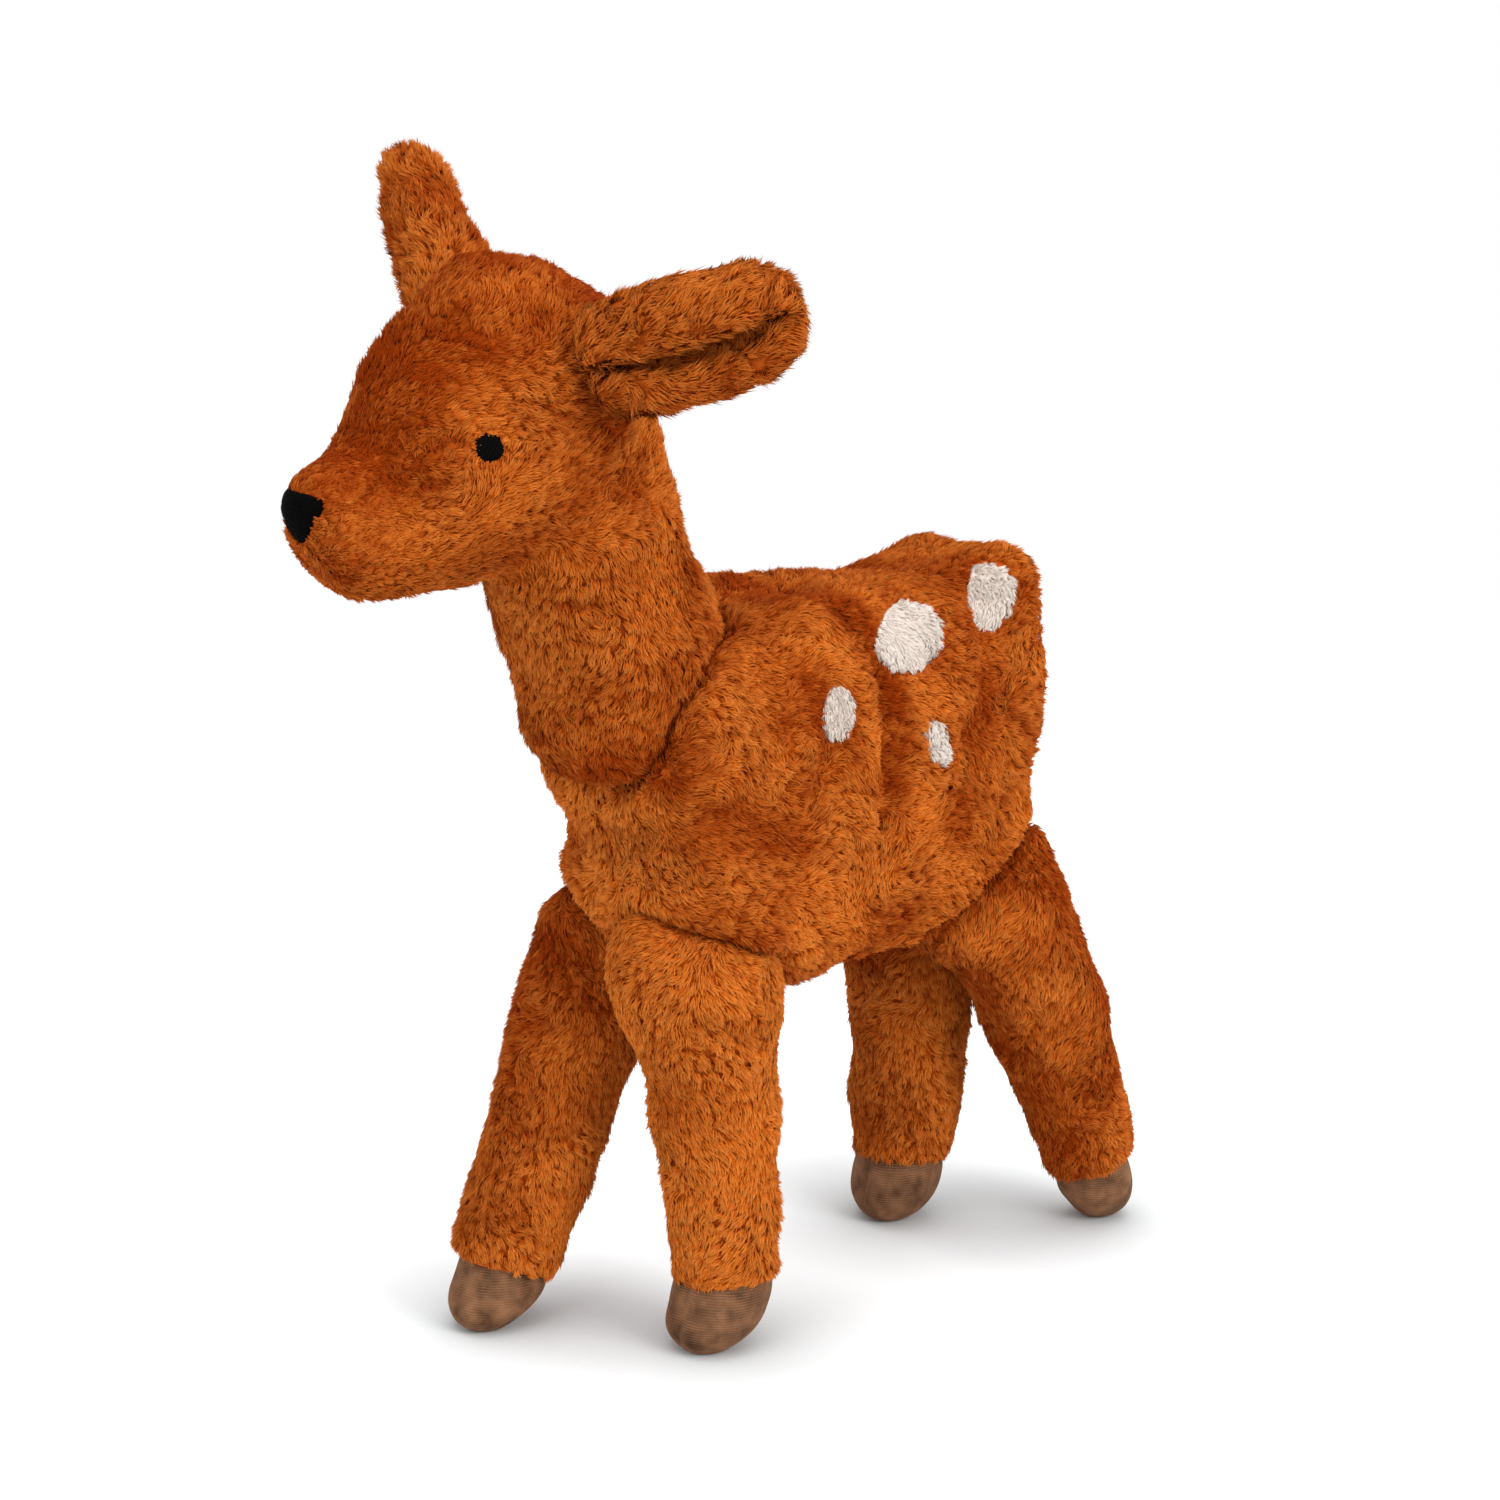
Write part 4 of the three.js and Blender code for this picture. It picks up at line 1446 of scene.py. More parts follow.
@dataclass
class Leg:
    """A leg with its velour hoof.

    Attributes:
        name: The body's name.
        hip: Where it turns.
        foot: Where the middle of its ankle is, across and along the fawn.
        top: Its radius at the hip.
        knee: Its radius at the knee.
        ankle: Its radius at the ankle.
        seam_height: How high the hoof's seam lies.
        sole_shift: How far the sole lies behind the ankle.
        boot: The hoof's width, as a share of the ankle's.
        bow: How far its middle is bowed, across and along the fawn.
        bright: How much painted light it takes, painted shade where negative, and how much of that light the
            thigh loses to painted shade.
        creases: Gathers that are pressed into it.
        tugs: Places that are carried off from the plain form.
        wall: How thick the cover is over the stuffing.
    """

    name: str
    hip: Array
    foot: tuple[float, float]
    top: float
    knee: float
    ankle: float
    seam_height: float
    sole_shift: float
    boot: float
    bow: tuple[float, float]
    bright: tuple[float, float]
    creases: tuple[Crease, ...] = ()
    tugs: tuple[Tug, ...] = ()
    wall: float = 5.4

    @property
    def foot_point(self) -> Array:
        """The middle of the ankle's seam."""
        return np.array([*self.foot, self.seam_height])

    @property
    def axis(self) -> Array:
        """The direction from the ankle up to the hip."""
        return unit(self.hip - self.foot_point)

    def form(self) -> StuffedForm:
        """The leg's rings from the hip down to the ankle."""
        def station(share: float, radius: float) -> Station:
            """A round ring at a share of the leg, which is bowed a little."""
            bent = np.array([*self.bow, 0.0]) * math.sin(math.pi * share)
            return Station(tuple(self.hip + (self.foot_point - self.hip) * share + bent), radius, radius)

        upper = self.top + (self.knee - self.top) * 0.55
        rings = [station(0, self.top), station(0.2, upper), station(0.5, self.knee)]
        rings += [station(0.8, (self.knee + self.ankle) / 2 - 0.2), station(1, self.ankle)]
        return StuffedForm(rings, (self.top, 3.0), pitch=1.8)

    def skin(self) -> Skin:
        """The leg's cover, with the unevenness of its stuffing."""
        skin = Skin(self.form().mesh(f"{self.name}_skin", -PILE_DEPTH))
        seed = zlib.crc32(self.name.encode()) % 97
        skin.lump([(Ripple(36, seed), 0.8), (Ripple(15, seed + 1), 0.35)])
        skin.tug(self.tugs)
        skin.press(self.creases)
        return skin

    def above_seam(self, points: Array) -> Array:
        """How far points lie above the ankle's seam, which is square to the leg."""
        return (points - self.foot_point) @ self.axis

    def hoof_ring(self, share: float, radius: float, height: float, tilt: float) -> Array:
        """A ring of the hoof, tilted by a share of the seam's own tilt."""
        turn = around(48)
        x, y = radius * np.cos(turn), radius * np.sin(turn)
        axis = self.axis
        lift = -tilt * (axis[0] * x + axis[1] * y) / axis[2]
        across, along = self.foot[0], self.foot[1] + self.sole_shift * share
        return np.stack([across + x, along + y, np.maximum(height + lift, 0)], -1)

    def hoof(self, grow: float = 0.0) -> bpy.types.Mesh:
        """The hoof: a wedge that leans to its toe."""
        rows = np.array(HOOF_ROWS) * (1, self.ankle * self.boot, 1, 1)
        tall = self.seam_height / 25
        rings = [
            self.hoof_ring(share, radius + grow, max(height * tall, -grow), tilt)
            for share, radius, height, tilt in curve_through(rows, np.linspace(0, 1, 44))
        ]
        first = np.array([*self.foot, HOOF_ROWS[0][2] * tall])
        last = np.array([self.foot[0], self.foot[1] + self.sole_shift, max(0.0, -grow)])
        return skin_rings(f"{self.name}_hoof_cover", np.array(rings), first, last)

    def hoof_skin(self) -> Skin:
        """The hoof's cover, seamed and dimpled in front."""
        skin = Skin(self.hoof())
        (x, y), shift = self.foot, self.sole_shift
        front = y - self.ankle
        skin.press([Crease(((x, front, 27), (x, front + 0.4 * shift, 14), (x, front + shift, 1)), 1.3, 0.9)])
        skin.swell((x, front + 0.4 * shift, 15), 7, -1.3)
        for cheek in (-11, 11):
            skin.swell((x + cheek, front + shift, 6), 7, 0.8)
        skin.lump([(Ripple(16, int(abs(x) + abs(y))), 0.35)])
        skin.above(0)
        return skin

    def wadding(self) -> bpy.types.Mesh:
        """The stuffing of the leg and hoof, as one lumpy form."""
        forms = [self.form().mesh("leg_filling", -self.wall), self.hoof(-self.wall)]
        mesh = fused(f"{self.name}_wadding", forms, 2.4, 2)
        Skin(mesh).lump([(Ripple(13, 31), 0.5), (Ripple(6, 32), 0.3)])
        return mesh

    def build(self, skin: Skin, torso: Skin, pile: Pile) -> None:
        """Makes the leg's pieces and grows its pile.

        Args:
            skin: The leg's cover.
            torso: The trunk's cover, which the leg is sewn to.
            pile: What grows on it.
        """
        def keep(points: Array, normals: Array) -> Array:
            """Keeps the pile above the ankle and outside the trunk."""
            return (self.above_seam(points) > 0.4) & outside((torso, 0.6))(points, normals)

        def trim(points: Array, normals: Array) -> Array:
            """Shortens the pile at both seams."""
            return seam.trim(points, normals) * (0.66 + 0.34 * smooth_step(0, 5, self.above_seam(points)))

        def tone(points: Array, normals: Array) -> Array:
            """Paints shade on the pile at the seam with the trunk, over the leg's own painted light and
            shade.
            """
            return self.tone(points, normals) + seam.shade(points)

        seam, name = Seams((torso,)), self.name
        nap = Nap((0, 0.1, -1), 0.5, 0.35, 30 + len(name) + int(self.foot[0]) % 7)
        piece(skin.mesh, RUST.ground, name, f"{name}_cover", fill=0.7)
        pile.grow(name, skin, nap, name, keep, trim, tone)
        piece(self.hoof_skin().mesh, VELOUR, name, f"{name}_hoof", fill=0.6)
        piece(self.wadding(), FLEECE, name, f"{name}_stuffing")

    def tone(self, points: Array, normals: Array) -> Array:
        """Painted light on the leg, most of all on its outside, and painted shade in its gathers and on its
        thigh.
        """
        gathered = sum(crease.near(points) * np.sign(crease.depth) for crease in self.creases)
        outside_face = 0.18 * smooth_step(0.0, 0.9, np.abs(normals[:, 0]))
        thigh = smooth_step(78, 122, points[:, 2])
        return 0.1 + self.bright[0] - self.bright[1] * thigh + outside_face - 0.35 * gathered


# Mounds and dents on both sides of the head, and then those on its middle or on one side: where
# each is, how wide, and how high it stands.
HEAD_PAIRS = (
    ((24, -110, 306), 9, -0.9),
    ((30, -96, 290), 16, 1.0),
    ((15, -148, 276), 8, 0.7),
    ((37, -38, 213), 17, -4.6),
    ((28, -16, 228), 15, -4.6),
    ((20, -60, 199), 12, 1.6),
)
HEAD_MOUNDS = (
    ((0, -157, 271), 10, -3.8),
    ((0, -160, 294), 9, 2.2),
    ((0, -140, 268), 11, 1.4),
    ((0, -148, 301), 9, 1.3),
    ((0, -124, 328), 16, -1.9),
    ((-10, -131, 317), 11, -2.0),
    ((-9, -116, 336), 9, 1.6),
    ((7, -53, 345), 10, -3.2),
    ((-12, -88, 352), 13, 2.6),
    ((0, -28, 265), 26, -2.2),
    ((0, -80, 247), 16, -2.0),
    ((-12, -76, 233), 17, -1.6),
    ((0, -66, 204), 17, 3.6),
)


@dataclass
class Head:
    """The neck and head, one stuffed whole."""

    pivot: Array
    wall: float = 7.0
    gusset: Crease = Crease(((27, -86, 343), (25, -112, 318), (18, -138, 302), (11, -154, 289)), 1.8, 1.5)

    def forms(self, grow: float) -> list[bpy.types.Mesh]:
        """The neck, from its seat in the trunk up, and the head, from the crown to the muzzle."""
        x, y, z = self.pivot
        neck = [
            Station((x, y, z), 37.0, 35.5),
            Station((x, y - 6, z + 15), 36.5, 33.5),
            Station((x, y - 17, z + 41), 31.5, 32.8),
            Station((x, y - 28, z + 70), 29, 34.8),
        ]
        head = [
            Station((0, -50, 317), 27, 32),
            Station((0, -75, 312), 34, 46.2),
            Station((0, -103, 299), 30, 42.2),
            Station((0, -128, 287), 22.5, 28.2),
            Station((0, -151, 284.5), 15.5, 17.8),
        ]
        return [
            StuffedForm(neck, (36, 3)).mesh("neck", grow),
            StuffedForm(head, (14, 9)).mesh("head", grow),
        ]

    def skin(self) -> Skin:
        """The fused and sculpted cover."""
        skin = Skin(fused("head_skin", self.forms(-PILE_DEPTH), 2.0, 10))
        skin.swell_pairs(HEAD_PAIRS)
        skin.tug([Tug((28, -64, 328), 14, (4.2, -3.4, 0.0))])
        for mound in HEAD_MOUNDS:
            skin.swell(*mound)
        skin.lump([(Ripple(44, 13), 0.9), (Ripple(17, 14), 0.4)])
        skin.press([self.gusset, self.gusset.mirrored()])
        return skin

    def wadding(self) -> bpy.types.Mesh:
        """The stuffing of the neck and head."""
        mesh = fused("head_wadding", self.forms(-self.wall), 2.6, 3)
        skin = Skin(mesh)
        skin.swell_pairs((((37, -38, 213), 19, -5.0), ((28, -16, 228), 17, -5.0)))
        skin.lump([(Ripple(16, 41), 0.6), (Ripple(7, 42), 0.4)])
        return mesh

    @staticmethod
    def forehead(points: Array, normals: Array) -> Array:
        """How far points lie in the gusset over the forehead, from 0 to 1."""
        wide = np.interp(-points[:, 1], (60, 86, 112, 138, 156), (30, 28, 25, 17, 10))
        between = smooth_step(3, -3, np.abs(points[:, 0]) - wide)
        return between * smooth_step(0.1, 0.4, normals[:, 2]) * (points[:, 2] > 285)

    def tone(self, points: Array, normals: Array) -> Array:
        """Painted shade on the forehead, whose pile lies away from the light, and painted light on the
        cheeks.
        """
        cheek = np.exp(-((np.linalg.norm(points - np.array([28, -100, 290]), axis=1) / 26) ** 2))
        return 0.08 * cheek - 0.38 * self.forehead(points, normals)

    @staticmethod
    def nap(points: Array) -> Array:
        """The nap runs back over the head from the muzzle, and down the neck."""
        down = smooth_step(282, 262, points[:, 2]) * smooth_step(-112, -92, points[:, 1])
        back = np.array([0.0, 0.95, 0.35])
        return back + down[:, None] * (np.array([0.0, 0.25, -1.0]) - back)


EAR_SET = np.array([-1.2, -1.1, 0.6])


@dataclass
class Ear:
    """An ear: a thick leaf of plush rolled lengthwise, open to the front.

    Attributes:
        side: Which ear it is.
        root: Where it is sewn on.
        lean: The way from its root to its tip.
        length: How long it is.
        drop: How far its root hangs under that line.
        fuller: How much wider the leaf is than its knots say.
        wall: Half the leaf's thickness.
        knots: Rings of the leaf: their share of its length, half width, half depth, and how far the
            roll reaches down and up, in degrees.
    """

    side: Side
    root: Array
    lean: Place
    length: float
    drop: float
    fuller: float
    wall: float = 3.5
    knots: tuple[tuple[float, ...], ...] = (
        (0.0, 14.5, 11.0, 150, 178),
        (0.3, 18.2, 11.3, 138, 180),
        (0.6, 17.9, 11.2, 128, 178),
        (0.8, 15.9, 9.4, 128, 175),
        (0.91, 11.8, 7.2, 140, 168),
    )

    @property
    def ahead(self) -> Array:
        """The direction from the root to the tip."""
        return unit(np.array(self.lean))

    @property
    def upright(self) -> Array:
        """The direction across the leaf, upward."""
        return unit(UP - self.ahead * self.ahead[2])

    @property
    def forward(self) -> Array:
        """The direction that the ear opens to."""
        return np.cross(self.ahead, self.upright) * self.side.value

    @property
    def name(self) -> str:
        """The CAD node's name."""
        return f"ear_{self.side.name.lower()}"

    def section(self, half_wide: float, half_deep: float, low: float, high: float) -> Array:
        """A ring round the rolled leaf, as pairs of upright and forward distances.

        Args:
            half_wide: Half the leaf's width.
            half_deep: Half the roll's depth.
            low: How far the roll reaches down, in degrees.
            high: How far it reaches up.

        Returns:
            The ring, down the outside and back up the inside.
        """
        share = np.linspace(0, 1, 40)
        angle = np.radians(-low + share * (low + high))
        curl = 1 - 0.3 * smooth_step(math.radians(105), math.radians(160), -angle)
        wall = min(self.wall, 0.48 * half_deep)
        wide, deep = (half_wide - wall) * curl, (half_deep - wall) * curl
        line = np.stack([wide * np.sin(angle), -deep * np.cos(angle)], -1)
        normal = unit(np.stack([deep * np.sin(angle), -wide * np.cos(angle)], -1))
        lips = np.sqrt(np.clip(1 - np.abs(2 * share - 1) ** 9, 0, 1))
        full = times(normal, wall * (0.25 + 0.75 * lips))
        return np.vstack([line + full, (line - full)[::-1]])

    def skin(self) -> Skin:
        """The ear's cover: the leaf, and its tip that closes in rings."""
        leaf, tip = 44, np.linspace(0, math.pi / 2, 9)[1:-1]
        rows = curve_through(np.array(self.knots), np.concatenate([np.linspace(0, 1, leaf), np.ones(8)]))
        close = np.concatenate([np.ones(leaf), np.cos(tip), [0.08]])
        rise = np.concatenate([np.zeros(leaf), np.sin(tip), [1.0]])
        rings = []
        for (share, wide, deep, low, high), small, lift in zip(rows, close, rise):
            flat = self.section(wide + self.fuller, deep, low, high) * small
            centre = self.root + self.ahead * (share * self.length + lift * self.length * 0.06)
            centre = centre - self.upright * self.drop * math.cos(share * math.pi / 2)
            rings.append(centre + flat[:, :1] * self.upright + flat[:, 1:] * self.forward)
        first = self.root - self.ahead * 4
        last = self.root + self.ahead * self.length
        skin = Skin(skin_rings(f"{self.name}_skin", np.array(rings), first, last))
        skin.lump([(Ripple(18, 50 + self.side.value), 0.5)])
        if self.side is Side.RIGHT:
            base = tuple(self.root + self.ahead * 19 + np.array([6.0, 8.0, 0.0]))
            skin.tug([Tug(base, 13, (3.4, 4.0, 0.0), False)])
        return skin

    def tone(self, points: Array, normals: Array) -> Array:
        """Painted shade inside the roll and at the root, and painted light on the upper lobe."""
        away = points - self.root
        facing = np.stack([normals @ self.upright, normals @ self.forward], -1)
        out = unit(np.stack([away @ self.upright, away @ self.forward], -1))
        inner = smooth_step(0.1, -0.4, (out * facing).sum(axis=1))
        inner = inner * (1.4 * smooth_step(-0.4, 0.3, out[:, 0]) - 0.4)
        root = smooth_step(16, 4, away @ self.ahead)
        upper = smooth_step(-0.2, 0.7, out[:, 0]) * (1 - np.abs(inner))
        return 0.02 + 0.06 * upper - 0.06 * inner - 0.06 * root


@dataclass
class Tail:
    """The tail, a plush tongue that hangs from its root."""

    root: Array
    length: float = 34.0

    def skin(self) -> Skin:
        """The tail's cover."""
        x, y, z = self.root
        rings = [
            Station((x, y, z), 5, 5),
            Station((x, y + 3.4, z - 0.45 * self.length), 10, 4),
            Station((x, y + 4.6, z - 0.85 * self.length), 7, 3),
        ]
        skin = Skin(StuffedForm(rings, (5, 5.1), pitch=1.0).mesh("tail_skin"))
        skin.lump([(Ripple(12, 61), 0.35)])
        return skin


@dataclass
class Face:
    """The stitched eyes and the felt nose."""

    eye: Place = (25.0, -108.8, 307.4)
    eye_radius: float = 4.2
    stitch: float = 0.3
    nose: Place = (0.0, -152.0, 290.0)
    nose_knots: tuple[tuple[float, float], ...] = (
        (2.0, -8.3), (5.8, -5.2), (9.4, -0.3), (10.6, 3.6), (8.4, 6.2), (3.2, 7.0),
        (-3.2, 7.0), (-8.4, 6.2), (-10.6, 3.6), (-9.4, -0.3), (-5.8, -5.2), (-2.0, -8.3),
    )

    @property
    def nose_outline(self) -> Array:
        """The nose patch's outline, as flat points."""
        return closed_curve(self.nose_knots, 60)

    def build_eye(self, side: Side, skin: Skin) -> None:
        """Stitches an eye: satin stitches side by side over a small pad."""
        x, y, z = self.eye
        radius, sign, tree = self.eye_radius, side.value, skin.tree()
        patch = Patch((sign * x, y, z), (0, sign, 0), (0, 0, 1), oval(radius, radius, 0, 0.03, 7), 0.8)
        parts = [as_part(patch.mesh("eye_pad", tree, 0.7))]
        rng = seeded(f"eye_{side.name}")
        lean = math.radians(62)
        turn = np.array([[math.cos(lean), math.sin(lean)], [-math.sin(lean), math.cos(lean)]])
        rows = np.arange(-radius, radius + 0.1, self.stitch * 1.75)
        run = np.linspace(-1, 1, 9)
        for layer in range(2):
            for place in rows + layer * self.stitch * 0.8:
                half = math.sqrt(max(radius**2 - place**2, 0.4)) * rng.uniform(0.9, 1.16)
                flat = np.stack([run * half, np.full(9, place) + rng.normal(0, 0.08)], -1) @ turn
                spots, normals = patch.cast(tree, flat)
                height = (1.0 + 0.3 * layer) * np.sqrt(np.clip(1 - run**6, 0, 1)) - 0.3 * (np.abs(run) == 1)
                parts.append(tube(spots + times(normals, height), self.stitch))
        name = f"eye_{side.name.lower()}"
        piece(merged(f"{name}_stitching", parts), THREAD, "head", name)

    def build_nose(self, skin: Skin, pile: Pile) -> None:
        """Sews the felt nose on, with its short fibres."""
        patch = Patch(self.nose, (1, 0, 0), (0, 0, 1), self.nose_outline, 1.1)
        mesh = shade_smooth(patch.mesh("nose_felt", skin.tree(), 0.7))
        nap = Nap((0, 0.2, -1), 1.2, 1.0, 81)
        pile.grow("nose", Skin(mesh), nap, "head", keep=lambda points, normals: normals[:, 1] < -0.05)
        piece(mesh, FELT, "head", "nose")

    def bare(self, points: Array, normals: Array) -> Array:
        """Keeps the pile off the eyes and the nose."""
        _, y, z = self.eye
        eyes = (points[:, 1] - y) ** 2 + (points[:, 2] - z) ** 2 < (self.eye_radius * 0.8) ** 2
        flat = points[:, [0, 2]] - np.array(self.nose)[[0, 2]]
        outline = self.nose_outline
        ways = np.arctan2(outline[:, 1], outline[:, 0])
        order = np.argsort(ways)
        reach = np.interp(
            np.arctan2(flat[:, 1], flat[:, 0]), ways[order], np.linalg.norm(outline[order], axis=1),
            period=2 * math.pi,
        )
        nose = (np.linalg.norm(flat, axis=1) < reach * 0.93) & (normals[:, 1] < 0) & (points[:, 1] < -135)
        return ~(eyes | nose)


@dataclass
class Pocket:
    """The cotton bag in the belly, with a hem at its mouth.

    Attributes:
        low: Where its mouth is.
        high: Where its closed top is.
        outer: The half length and half width of its outside.
        inner: Those of its inside.
        hem: How high the thicker hem reaches, and how much it adds.
    """

    low: float = 123.3
    high: float = 227.4
    outer: tuple[float, float] = (36.0, 15.5)
    inner: tuple[float, float] = (35.0, 14.6)
    hem: tuple[float, float] = (130.0, 0.25)

    def mesh(self) -> bpy.types.Mesh:
        """The bag as one closed sheet of cloth, out and back in over the hem."""
        turn = around(72)

        def ring(long: float, wide: float, height: float, ruck: float = 0.0) -> Array:
            """An oval ring of the bag, slightly rucked."""
            uneven = ruck * np.sin(9 * turn + height * 0.11) * np.sin(4 * turn + height * 0.05)
            x, y = (wide + uneven) * np.cos(turn), POCKET_MIDDLE + (long + uneven) * np.sin(turn)
            return np.stack([x, y, np.full(len(turn), height)], -1)

        rise = self.low + (self.high - 3 - self.low) * np.linspace(0, 1, 42) ** 1.1
        (long, wide), (hem_top, hem) = self.outer, self.hem
        outer = [ring(long + hem * (h < hem_top), wide + hem * (h < hem_top), h, 0.12) for h in rise]
        steps = ((0.2, 0.0), (0.6, 0.0), (0.9, 0.3), (0.97, 1.2))
        crown = [ring(long * share, wide * share, self.high - fall) for share, fall in steps]
        steps = ((0.2, 0.0), (0.6, 0.0), (0.9, 0.4), (0.97, 1.4))
        lid = [ring(35 * share, 14.5 * share, self.high - 1 - fall) for share, fall in steps]
        inner = [ring(*self.inner, h, 0.12) for h in rise[::-1]]
        rings = np.array(crown + outer[::-1] + inner[::-1] + lid[::-1])
        top = np.array([0.0, POCKET_MIDDLE, self.high])
        return shade_smooth(skin_rings("pocket_bag", rings, top, top - UP))


@dataclass
class HeatPack:
    """The seed pack: two cotton panels sewn at a rim, and the seeds between them.

    Attributes:
        half_long: Half its length along the fawn.
        half_thick: Half its thickness.
        low: Its lowest height.
        high: Its highest height.
        seeds: How many seeds fill it.
        seed: The half sizes of a seed.
    """

    half_long: float = 34.3
    half_thick: float = 13.9
    low: float = 136.2
    high: float = 225.8
    seeds: int = 900
    seed: Place = (1.5, 1.9, 2.5)

    @property
    def centre(self) -> Array:
        """The pack's middle."""
        return np.array([0, POCKET_MIDDLE, (self.low + self.high) / 2])

    def swell(self, share: float) -> float:
        """How thick the pack is from its middle, 0, to its rim, 1."""
        return (self.half_thick - 1.5) * max(1 - share**3.2, 0) ** 0.62

    def outline(self, turn: Array) -> Array:
        """The rim, a soft rectangle, as pairs of Y and Z distances from the middle."""
        flat = np.stack([np.cos(turn), np.sin(turn)], -1)
        flat = np.sign(flat) * np.abs(flat) ** 0.55
        return flat * np.array([self.half_long, (self.high - self.low) / 2])

    def panel(self, side: Side) -> bpy.types.Mesh:
        """One domed panel with the dents of the seeds, its wall and its flat seam."""
        rim = self.outline(around(96))
        out = np.array([side.value, 0, 0])
        dents = Ripple(7.5, 90 + side.value)
        rings = []
        for wall, shares in ((0.0, np.linspace(0.03, 1, 34)), (1.0, np.linspace(1, 0.03, 34))):
            for share in shares:
                spots = np.insert(rim * (share - 0.004 * wall), 0, 0, axis=1) + self.centre
                thick = 0.9 + self.swell(share * 1.06) + 0.5 * dents.at(spots) * (1 - share**4)
                thick -= wall * (0.55 if share > 0.97 else 1.0)
                spots[:, 0] = side.value * np.maximum(thick, 0.18)
                rings.append(spots)
        first, last = (self.centre + out * (self.half_thick - wall) for wall in (0.6, 1.6))
        return shade_smooth(skin_rings(f"pack_panel_{side.name.lower()}_cloth", np.array(rings), first, last))

    def filling(self) -> bpy.types.Mesh:
        """Loose dried seeds that fill the pack."""
        rng = seeded("pack seeds")
        parts = []
        while len(parts) < self.seeds:
            angle, share = rng.uniform(0, 2 * math.pi), math.sqrt(rng.random()) * 0.9
            along, up = self.outline(np.array([angle]))[0] * share
            room = self.swell(share * 1.08) - 3.7
            if room < 0.3:
                continue
            x = room * np.sign(rng.uniform(-1, 1)) * rng.random() ** 0.25
            turn, _ = np.linalg.qr(rng.normal(size=(3, 3)))
            sizes = np.array(self.seed) * rng.uniform(0.85, 1.1)
            parts.append(pebble(self.centre + np.array([x, along, up]), sizes, turn))
        return merged("pack_seeds", parts)


@dataclass
class Flap:
    """The belly flap with its hook tape, and the loop tape on the belly."""

    box: tuple[Array, Array]

    def sheet(self) -> bpy.types.Mesh:
        """A thick hemmed sheet with soft corners, rolled at its hinge side."""
        low, high = self.box
        edge = high[0] - 2
        thick, top = 1.7, low[2] + 1.8
        turn = around(120)
        flat = np.stack([np.cos(turn), np.sin(turn)], -1)
        flat = np.sign(flat) * np.abs(flat) ** 0.28
        half = np.array([(edge - low[0]) / 2, (high[1] - low[1]) / 2])
        centre = np.array([(edge + low[0]) / 2, (high[1] + low[1]) / 2])
        shares = np.linspace(0.04, 1, 26)
        rings = []
        for face, order in ((1, shares), (-1, shares[::-1])):
            for share in order:
                hem = 0.25 * math.exp(-(((share - 0.9) / 0.018) ** 2)) * (0.2 < share < 0.98)
                height = top - thick / 2 + face * (thick / 2 * (1 - share**16) ** 0.5 - hem)
                rings.append(np.column_stack([centre + flat * half * share, np.full(len(turn), height)]))
        first, last = (np.array([*centre, height]) for height in (top, top - thick))
        return skin_rings("belly_flap_sheet", np.array(rings), first, last)

    def hinge_roll(self) -> tuple[Array, Array]:
        """The rolled seam that the flap turns on."""
        low, high = self.box
        run = np.linspace(low[1] + 0.4, high[1] - 0.4, 60)
        sway = 0.08 * np.sin(run * 1.3)
        path = np.stack([np.full(60, high[0] - 2.0) + sway, run, np.full(60, high[2] - 2.0)], -1)
        return tube(path, 1.85, 14)

    @staticmethod
    def tape(name: str, box: tuple[Array, Array], hooked: bool) -> bpy.types.Mesh:
        """A woven tape with selvedges, covered with small hooks or loops.

        Args:
            name: The mesh's name.
            box: The tape's lowest and highest corners.
            hooked: Whether it has hooks, which stand up, or loops, which hang down.

        Returns:
            The tape.
        """
        low, high = box
        parts = []
        height = (low[2] + high[2]) / 2
        run = np.linspace(low[1] + 0.3, high[1] - 0.3, 90)
        for place in np.linspace(low[0] + 0.3, high[0] - 0.3, 11):
            path = np.stack([np.full(90, place), run, height + 0.05 * np.sin(run * 3 + place)], -1)
            parts.append(tube(path, 0.29))
        rng = seeded(name)
        sign, bent = (1, 0.85) if hooked else (-1, 1.0)
        turn = np.linspace(0, math.pi * bent, 6)
        out = 0.28 * (1 - np.cos(turn))
        for y in np.arange(low[1] + 1, high[1] - 0.9, 1.3):
            for x in np.linspace(low[0] + 0.9, high[0] - 0.9, 4):
                reach = np.stack([out, out * rng.uniform(0, 0.6), 0.36 * sign * np.sin(turn)], -1)
                parts.append(tube(np.array([x - 0.2, y, height + sign * 0.12]) + reach, 0.07, 4))
        return merged(name, parts)


def background_rays(tree: bpy.types.NodeTree) -> Socket:
    """1 for rays that see the pale background: the camera's, and those of gloss and glass."""
    path = add_node(tree, "LightPath")
    seen = path.outputs["Is Camera Ray"]
    for ray in ("Is Glossy Ray", "Is Transmission Ray"):
        either = add_node(tree, "Math", operation="MAXIMUM")
        seen = fed(either, {0: seen, 1: path.outputs[ray]}).outputs[0]
    return seen


